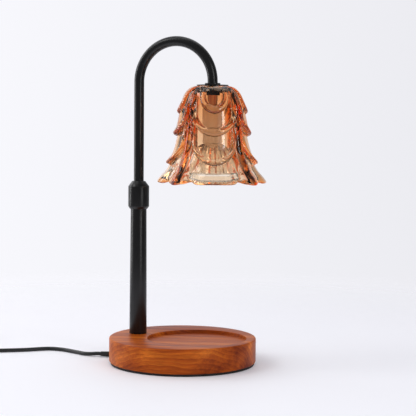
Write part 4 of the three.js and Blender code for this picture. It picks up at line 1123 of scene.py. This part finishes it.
@dataclass
class GlassShade:
    """The pressed glass shade: columns of scales with ribs between them and a notched rim."""

    axis_x: float = 31.0
    top: float = 282.2
    height: float = 96.7
    rim_radius: float = 54.9
    neck_radius: float = 16.5
    hole_radius: float = 14.0
    wall: float = 4.5
    front_column_degrees: float = -63.0
    columns: int = 4
    edge_width: float = 4.0
    rib_height: float = 3.2
    rib_half_width: float = 5.6
    rib_start: float = 7.0
    rib_rise: float = 14.0
    rib_tip_drop: float = 0.8
    notch_depth: float = 5.4
    notch_half_width: float = 5.0
    notch_lift: float = 2.2
    notch_degrees: float = 28.5
    flare_height: float = 24.0
    inner_notch_share: float = 0.85
    rim_bulge: float = 0.6
    inner_stop: float = 1.0
    rib_colour_reach: float = 0.9
    rib_colour_start: float = 20.0
    height_power: float = 1.5
    outer_rows: int = 190
    inner_rows: int = 30
    rim_rows: int = 6
    knot_steps: int = 20
    steps: int = 384
    crease_degrees: float = 60.0
    scales: tuple[Scale, ...] = (
        Scale(12.6, 16.0, 27.5, 1.1, 0.5, 1.5),
        Scale(20.8, 24.0, 49.9, 3.0, 0.3, 1.5),
        Scale(21.0, 21.0, 78.2, 3.2, 0.25, 2.0),
    )
    bell: Profile = field(default_factory=lambda: [
        (0.0, 0.0), (0.012, 0.073), (0.031, 0.143), (0.062, 0.211), (0.103, 0.263),
        (0.165, 0.305), (0.27, 0.352), (0.39, 0.393), (0.52, 0.438), (0.64, 0.497),
        (0.72, 0.565), (0.8, 0.67), (0.87, 0.773), (0.92, 0.888), (0.962, 0.971), (0.985, 1.0)])

    def bell_points(self, count: int) -> list[Vector]:
        """Gives evenly spaced points of the plain bell as (radius, drop).

        Args:
            count: how many steps the points make.

        Returns:
            The points, from the neck to the rim.
        """
        knots = [Vector((self.neck_radius + r * (self.rim_radius - self.neck_radius),
                         d * self.height)) for d, r in self.bell]
        dense = []
        for i in range(len(knots) - 1):
            p0, p1 = knots[max(i - 1, 0)], knots[i]
            p2, p3 = knots[i + 1], knots[min(i + 2, len(knots) - 1)]
            for step in range(self.knot_steps):
                t = step / self.knot_steps
                v0, v1 = (p2 - p0) / 2, (p3 - p1) / 2
                dense.append((2 * p1 - 2 * p2 + v0 + v1) * t ** 3
                             + (3 * p2 - 3 * p1 - 2 * v0 - v1) * t ** 2 + v0 * t + p1)
        dense.append(knots[-1])
        reach = [0.0]
        for a, b in zip(dense, dense[1:]):
            reach.append(reach[-1] + (b - a).length)
        points, j = [], 0
        for i in range(count + 1):
            goal = reach[-1] * i / count
            while j < len(reach) - 2 and reach[j + 1] < goal:
                j += 1
            share = (goal - reach[j]) / (reach[j + 1] - reach[j])
            points.append(dense[j].lerp(dense[j + 1], share))
        return points

    def flare(self, drop: float) -> float:
        """Gives the share of the rim's flare that is reached at a drop."""
        return soft_step((drop - (self.height - self.flare_height)) / self.flare_height)

    def notch(self, radius: float, drop: float, turn: float) -> float:
        """Gives the share of its depth that a rim notch has at a place."""
        away = radius * (abs(turn) - math.radians(self.notch_degrees)) / self.notch_half_width
        return self.flare(drop) * math.exp(-away * away)

    def outer(self, radius: float, drop: float, turn: float) -> tuple[float, float]:
        """Gives the outer face's radius and drop.

        Args:
            radius: the plain bell's radius.
            drop: its drop below the top.
            turn: the angle from the middle of the nearest column of scales.

        Returns:
            The moved radius and drop.
        """
        folded = abs(turn)
        notch = self.notch(radius, drop, turn)
        from_rib = radius * (math.pi / self.columns - folded) / self.rib_half_width
        crest = math.cos(from_rib * math.pi / 2) if from_rib < 1 else 0.0
        rib = self.rib_height * crest * soft_step((drop - self.rib_start) / self.rib_rise)
        across = radius * math.sin(folded)
        lift = sum(scale.height(across, drop, self.edge_width) for scale in self.scales)
        return (radius + lift + rib - self.notch_depth * notch,
                drop - self.notch_lift * notch + self.rib_tip_drop * crest * self.flare(drop))

    def inner(self, radius: float, drop: float, turn: float) -> tuple[float, float]:
        """Gives the smooth inner face's radius and drop, which follow the rim's notches.

        Args:
            radius: the plain inner wall's radius.
            drop: its drop below the top.
            turn: the angle from the middle of the nearest column of scales.

        Returns:
            The moved radius and drop.
        """
        notch = self.notch(radius, drop, turn)
        return (radius - self.inner_notch_share * self.notch_depth * notch,
                drop - self.notch_lift * notch)

    def section(self) -> list[tuple[float, float, Face]]:
        """Gives the glass's section.

        Returns:
            The closed section's points, each as its radius, its drop and its face.
        """
        rows = [(self.hole_radius, 0.0, Face.STILL), (self.hole_radius, self.wall, Face.STILL)]
        bell = self.bell_points(self.inner_rows)
        for i, point in enumerate(bell):
            before, after = bell[max(i - 1, 0)], bell[min(i + 1, len(bell) - 1)]
            tangent = (after - before).normalized()
            drop = min(max(point.y + self.wall * tangent.x, self.wall),
                       self.height - self.inner_stop)
            radius = max(point.x - self.wall * tangent.y, self.hole_radius + self.wall / 2)
            rows.append((radius, drop, Face.INNER))
        outer = self.bell_points(self.outer_rows)
        start, end = Vector(rows[-1][:2]), outer[-1]
        middle, half = (start + end) / 2, (end - start) / 2
        for i in range(1, self.rim_rows):
            angle = math.pi * i / self.rim_rows
            bulge = Vector((-half.y, half.x)) * self.rim_bulge * math.sin(angle)
            place = middle - half * math.cos(angle) + Vector((bulge.x, abs(bulge.y)))
            rows.append((place.x, min(place.y, self.height),
                         Face.INNER if i < self.rim_rows / 2 else Face.OUTER))
        rows += [(p.x, p.y, Face.OUTER) for p in reversed(outer)]
        return rows

    def build(self) -> None:
        """Makes the shade: spins the section and moves its points to the scales and ribs."""
        bm = bmesh.new()
        face = bm.verts.layers.int.new("face")
        verts = []
        for radius, drop, kind in self.section():
            vert = bm.verts.new((radius, 0.0, -drop))
            vert[face] = kind.value
            verts.append(vert)
        edges = [bm.edges.new(pair) for pair in zip(verts, verts[1:] + verts[:1])]
        bmesh.ops.spin(bm, geom=verts + edges, cent=(0, 0, 0), axis=(0, 0, 1),
                       angle=2 * math.pi, steps=self.steps, use_merge=True)
        face = bm.verts.layers.int["face"]
        height = bm.verts.layers.float.new("height")
        rib = bm.verts.layers.float.new("rib")
        spacing = 2 * math.pi / self.columns
        front = math.radians(self.front_column_degrees)
        for vert in bm.verts:
            vert[height] = max(1 + vert.co.z / self.height, 0.0) ** self.height_power
            if vert[face] == Face.STILL:
                continue
            around = math.atan2(vert.co.y, vert.co.x)
            turn = (around - front + spacing / 2) % spacing - spacing / 2
            reach = math.hypot(vert.co.x, vert.co.y)
            from_rib = (reach * (spacing / 2 - abs(turn))
                        / (self.rib_half_width * self.rib_colour_reach))
            vert[rib] = (math.exp(-from_rib ** 4)
                         * min(-vert.co.z / self.rib_colour_start, 1.0))
            move = self.outer if vert[face] == Face.OUTER else self.inner
            radius, drop = move(reach, -vert.co.z, turn)
            vert.co = (radius * math.cos(around), radius * math.sin(around), -drop)
        bmesh.ops.translate(bm, verts=bm.verts, vec=(self.axis_x, 0, self.top))
        finish_piece("glass_bell", bm, AMBER_GLASS, Body.ARM, ("glass_shade",),
                     self.crease_degrees)


@dataclass
class ShadeFittings:
    """What holds the shade and the bulb, and the bulb."""

    axis_x: float = 31.0
    stem_bore: float = 2.0
    stem_radius: float = 5.0
    stem_bottom: float = 261.2
    spigot_radius: float = 3.7
    spigot_height: float = 3.0
    flange_radius: float = 7.8
    flange_bottom: float = 283.8
    flange_top: float = 285.4
    bore_radius: float = 5.2
    plate_radius: float = 16.0
    plate: tuple[float, float] = (283.0, 283.6)
    gasket_radii: tuple[float, float] = (13.8, 15.8)
    gasket: tuple[float, float] = (282.4, 282.8)
    sleeve_neck: float = 7.35
    sleeve_head: float = 13.6
    sleeve_step: float = 277.9
    sleeve: tuple[float, float] = (272.3, 282.8)
    ring_radii: tuple[float, float] = (7.55, 15.8)
    ring: tuple[float, float] = (275.5, 277.5)
    holder_radius: float = 10.0
    holder: tuple[float, float] = (239.0, 261.0)
    neck_radius: float = 9.5
    neck: tuple[float, float] = (223.8, 238.8)
    bowl_top: float = 223.6
    bowl_bottom: float = 193.6
    bowl_radius: float = 25.0
    bowl_hole: float = 4.8
    bowl_wall: float = 1.6
    cover_radius: float = 24.2
    cover: tuple[float, float] = (191.6, 193.4)
    flutes: int = 36
    bowl_rows: int = 9
    flute_depth: float = 1.2
    least_flute: float = 0.4
    bowl_crease_degrees: float = 1.0
    stem_edge: float = 0.25
    plate_edge: float = 0.2
    gasket_edge: float = 0.1
    sleeve_edge: float = 0.3
    ring_edge: float = 0.3
    holder_edge: float = 2.0
    neck_edge: float = 1.0
    cover_edge: float = 0.8

    def build(self) -> None:
        """Makes every piece."""
        top, under, foot = self.flange_top, self.flange_bottom, self.stem_bottom
        bore, stem, flange = self.stem_bore, self.stem_radius, self.flange_radius
        spigot, end = self.spigot_radius, top + self.spigot_height
        self.turned("flanged_stem", [
            (bore, foot), (stem, foot), (stem, under), (flange, under), (flange, top),
            (spigot, top), (spigot, end), (bore, end), (bore, foot)],
            PAINTED_BRASS, "end_fitting", self.stem_edge)
        self.turned("shade_disc", washer(self.bore_radius, self.plate_radius, self.plate),
                    BLACK_PAINT, "shade_plate", self.plate_edge)
        self.turned("shade_washer", washer(*self.gasket_radii, self.gasket),
                    RUBBER, "shade_gasket", self.gasket_edge)
        bore, neck, head, step = (self.bore_radius, self.sleeve_neck, self.sleeve_head,
                                  self.sleeve_step)
        foot, top = self.sleeve
        self.turned("black_sleeve", [
            (bore, foot), (neck, foot), (neck, step), (head, step), (head, top), (bore, top),
            (bore, foot)], DULL_BLACK, "holder_sleeve", self.sleeve_edge)
        self.turned("shade_lock_ring", washer(*self.ring_radii, self.ring),
                    DULL_BLACK, "shade_ring", self.ring_edge)
        self.turned("ceramic_holder", washer(0, self.holder_radius, self.holder),
                    CERAMIC, "lamp_holder", self.holder_edge)
        self.turned("bulb_neck", washer(0, self.neck_radius, self.neck),
                    CERAMIC, "bulb_base", self.neck_edge)
        self.reflector()
        self.turned("bulb_cover", washer(0, self.cover_radius, self.cover),
                    CLEAR_GLASS, "bulb_lens", self.cover_edge)
        keep_nodes(ZINC, "bulb_pin_1", "bulb_pin_2")
        keep_nodes(CLEAR_GLASS, "bulb_capsule")

    def turned(self, name: str, profile: Profile, finish: Finish, node: str, edge: float
               ) -> None:
        """Makes a turned piece on the shade's axis.

        Args:
            name: the piece's name.
            profile: its section as (radius, level).
            finish: its finish.
            node: the CAD node that it stands for.
            edge: the bevel of its edges.
        """
        bm = spun(profile, centre=(self.axis_x, 0))
        soften(bm, edge)
        finish_piece(name, bm, finish, Body.ARM, (node,))

    def reflector(self) -> None:
        """Makes the bulb's bowl, with flutes that deepen towards its mouth."""
        hole, wall = self.bowl_hole, self.bowl_wall
        outside, inside = [], []
        for i in range(self.bowl_rows + 1):
            share = i / self.bowl_rows
            level = self.bowl_top - share * (self.bowl_top - self.bowl_bottom)
            radius = self.neck_radius + (self.bowl_radius - self.neck_radius) * math.sqrt(share)
            outside.append((radius, level))
            inside.append((max(radius - wall, hole), min(level, self.bowl_top - wall)))
        profile = [(hole, self.bowl_top), *inside, *reversed(outside), (hole, self.bowl_top)]
        bm = spun(profile, 2 * self.flutes)
        for vert in bm.verts:
            around = math.atan2(vert.co.y, vert.co.x)
            share = (self.bowl_top - vert.co.z) / (self.bowl_top - self.bowl_bottom)
            fold = 0.5 - 0.5 * math.cos(around * self.flutes)
            dip = self.flute_depth * (self.least_flute + (1 - self.least_flute) * share) * fold
            reach = math.hypot(vert.co.x, vert.co.y)
            vert.co.xy *= (reach - dip) / reach
        bmesh.ops.translate(bm, verts=bm.verts, vec=(self.axis_x, 0, 0))
        finish_piece("reflector_bowl", bm, REFLECTOR_COAT, Body.ARM, ("bulb_reflector",),
                     self.bowl_crease_degrees)


# Studio


@dataclass
class Studio:
    """The camera, the pale floor and the soft light.

    Directions in the world are told from the way that the photograph looks. A span of the world's
    light is two values along a direction, and then the strengths at them.
    """

    camera_place: Point = (0.5414, -1.1822, 0.246)
    camera_turn: float = math.radians(23.51)
    camera_pitch: float = math.radians(3.82)
    camera_roll: float = math.radians(0.5)
    lens: float = 110.87
    sensor: float = 36.0
    bright_side: str = "F8F8FD"
    dim_side: str = "ECECF1"
    backdrop_reach: float = 0.17
    room_depth: tuple[float, float, float, float] = (-0.2, 0.6, 0.2, 1.0)
    room_side: tuple[float, float, float, float] = (-0.1, 0.7, 1.0, 0.45)
    ceiling: tuple[float, float, float, float] = (0.5, 0.85, 1.0, 0.12)
    world_light: float = 0.78
    paper: str = "F2F2F6"
    paper_roughness: float = 0.6
    paper_specular: float = 0.2
    floor_size: float = 8.0
    floor_clear: tuple[float, float] = (0.27, 0.85)
    through_glass: tuple[tuple[float, str], ...] = (
        (0.0, "F4EEE8"), (0.35, "F4EEE8"), (0.6, "F8F4F0"), (0.67, "140E0C"), (0.925, "140E0C"),
        (0.965, "FFFFFF"))
    aim: Point = (0.0, 0.0, 0.15)

    def build_camera(self) -> None:
        """Makes the camera at the photograph's viewing angle."""
        data = bpy.data.cameras.new("camera")
        data.lens = self.lens
        data.sensor_width = self.sensor
        data.clip_start, data.clip_end = 0.01, 50.0
        camera = bpy.data.objects.new("camera", data)
        camera.location = self.camera_place
        turn = (Matrix.Rotation(self.camera_turn, 3, "Z")
                @ Matrix.Rotation(math.pi / 2 - self.camera_pitch, 3, "X")
                @ Matrix.Rotation(self.camera_roll, 3, "Z"))
        camera.rotation_euler = turn.to_euler()
        bpy.context.scene.collection.objects.link(camera)
        bpy.context.scene.camera = camera

    def build_light(self) -> None:
        """Makes the floor, the world and the softboxes."""
        scene = bpy.context.scene
        scene.view_settings.view_transform = "Standard"
        self.world()
        self.floor()
        self.softbox("key", (-0.9, -0.7, 1.3), (0.6, 0.6), 4.2)
        self.softbox("crown", (-0.3, -0.2, 1.5), (0.35, 0.35), 0.8)
        self.softbox("fill", (1.3, -0.9, 0.9), (0.6, 0.6), 1.2)
        self.softbox("top", (0.1, 0.5, 1.6), (1.0, 1.0), 2.2)
        self.softbox("rim", (-1.09, 0.31, 0.89), (0.5, 0.5), 1.4, in_glass=False)
        self.softbox("left_strip", (-1.15, -0.25, 0.4), (0.18, 0.9), 3.4, in_glass=False)
        self.softbox("right_strip", (1.05, -0.56, 0.4), (0.14, 0.9), 2.6, in_glass=False)

    def world(self) -> None:
        """Makes the world: a pale backdrop behind the lamp and a darker room before it.

        Through the glass it shows a pale field with a dark ring round it and a dark ceiling,
        which draw the dark lines of pressed glass and keep its crown black.
        """
        world = bpy.data.worlds.new("studio")
        bpy.context.scene.world = world
        world.use_nodes = True
        tree = world.node_tree
        tree.nodes.clear()
        way = add_node(tree, "ShaderNodeTexCoord").outputs["Generated"]
        forward = (-math.sin(self.camera_turn), math.cos(self.camera_turn), 0.0)
        right = (math.cos(self.camera_turn), math.sin(self.camera_turn), 0.0)
        across = add_node(tree, "ShaderNodeVectorMath", {0: way, 1: right},
                          operation="DOT_PRODUCT")
        ahead = add_node(tree, "ShaderNodeVectorMath", {0: way, 1: forward},
                         operation="DOT_PRODUCT")
        side = add_node(tree, "ShaderNodeMapRange", {
            "Value": across.outputs["Value"], "From Min": -self.backdrop_reach,
            "From Max": self.backdrop_reach})
        colour = add_node(tree, "ShaderNodeMix", {
            "Factor": side.outputs["Result"], 6: linear(self.bright_side),
            7: linear(self.dim_side)}, data_type="RGBA")
        depth = add_node(tree, "ShaderNodeMapRange", {
            "Value": ahead.outputs["Value"], **dict(zip(SPAN, self.room_depth))})
        shade = add_node(tree, "ShaderNodeMapRange", {
            "Value": across.outputs["Value"], **dict(zip(SPAN, self.room_side))})
        room = add_node(tree, "ShaderNodeMath", {
            0: depth.outputs["Result"], 1: shade.outputs["Result"]}, operation="MULTIPLY")
        turned_to = add_node(tree, "ShaderNodeMapRange", {
            "Value": ahead.outputs["Value"], "From Min": -1.0, "From Max": 1.0})
        panel = add_node(tree, "ShaderNodeValToRGB", {"Fac": turned_to.outputs["Result"]},
                         self.through_glass)
        height = add_node(tree, "ShaderNodeSeparateXYZ", {0: way})
        ceiling = add_node(tree, "ShaderNodeMapRange", {
            "Value": height.outputs["Z"], **dict(zip(SPAN, self.ceiling))})
        seen = add_node(tree, "ShaderNodeVectorMath", {
            0: panel.outputs["Color"], "Scale": ceiling.outputs["Result"]}, operation="SCALE")
        path = add_node(tree, "ShaderNodeLightPath")
        plain = add_node(tree, "ShaderNodeMix", {
            "Factor": path.outputs["Is Diffuse Ray"], "A": 1.0, "B": self.world_light})
        glossy = add_node(tree, "ShaderNodeMix", {
            "Factor": path.outputs["Is Glossy Ray"], "A": plain.outputs["Result"],
            "B": room.outputs["Value"]})
        strength = add_node(tree, "ShaderNodeMix", {
            "Factor": path.outputs["Is Transmission Ray"], "A": glossy.outputs["Result"],
            "B": seen.outputs["Vector"]})
        light = add_node(tree, "ShaderNodeBackground", {
            "Color": colour.outputs[2], "Strength": strength.outputs["Result"]})
        add_node(tree, "ShaderNodeOutputWorld", {"Surface": light.outputs["Background"]})

    def floor(self) -> None:
        """Makes the pale floor, which fades into the backdrop."""
        bm = bmesh.new()
        bmesh.ops.create_grid(bm, x_segments=2, y_segments=2, size=self.floor_size)
        mesh = bpy.data.meshes.new("floor")
        bm.to_mesh(mesh)
        bm.free()
        material = bpy.data.materials.new("pale_paper_sweep")
        material.use_nodes = True
        tree = material.node_tree
        tree.nodes.clear()
        place = add_node(tree, "ShaderNodeTexCoord").outputs["Object"]
        reach = add_node(tree, "ShaderNodeVectorMath", {0: place}, operation="LENGTH")
        clear = add_node(tree, "ShaderNodeMapRange", {
            "Value": reach.outputs["Value"], "From Min": self.floor_clear[0],
            "From Max": self.floor_clear[1]}, interpolation_type="SMOOTHSTEP")
        paper = add_node(tree, "ShaderNodeBsdfPrincipled", {
            "Base Color": linear(self.paper), "Roughness": self.paper_roughness,
            "Specular IOR Level": self.paper_specular})
        gone = add_node(tree, "ShaderNodeBsdfTransparent")
        shader = add_node(tree, "ShaderNodeMixShader", {
            0: clear.outputs["Result"], 1: paper.outputs["BSDF"], 2: gone.outputs["BSDF"]})
        add_node(tree, "ShaderNodeOutputMaterial", {"Surface": shader.outputs["Shader"]})
        mesh.materials.append(material)
        floor = bpy.data.objects.new("floor", mesh)
        bpy.context.scene.collection.objects.link(floor)

    def softbox(self, name: str, place: Point, size: tuple[float, float], power: float,
                in_glass: bool = True) -> None:
        """Makes a softbox that faces the lamp.

        Args:
            name: its name.
            place: where it hangs, in metres.
            size: its width and height.
            power: its power in watts.
            in_glass: whether it shows through the glass as well.
        """
        data = bpy.data.lights.new(name, "AREA")
        data.shape = "RECTANGLE"
        data.size, data.size_y = size
        data.energy = power
        light = bpy.data.objects.new(name, data)
        light.location = place
        light.visible_transmission = in_glass
        way = Vector(self.aim) - Vector(place)
        light.rotation_euler = way.to_track_quat("-Z", "Y").to_euler()
        bpy.context.scene.collection.objects.link(light)


def main() -> None:
    """Builds the lamp and the studio in order."""
    logging.basicConfig(level=logging.INFO, format="%(name)s %(message)s")
    studio = Studio()
    studio.build_camera()
    lead = MainsLead()
    lead.build_cords()
    lead.build_boot()
    Stand().build()
    Arm().build()
    GlassShade().build()
    ShadeFittings().build()
    studio.build_light()


if __name__ == "__main__":
    main()
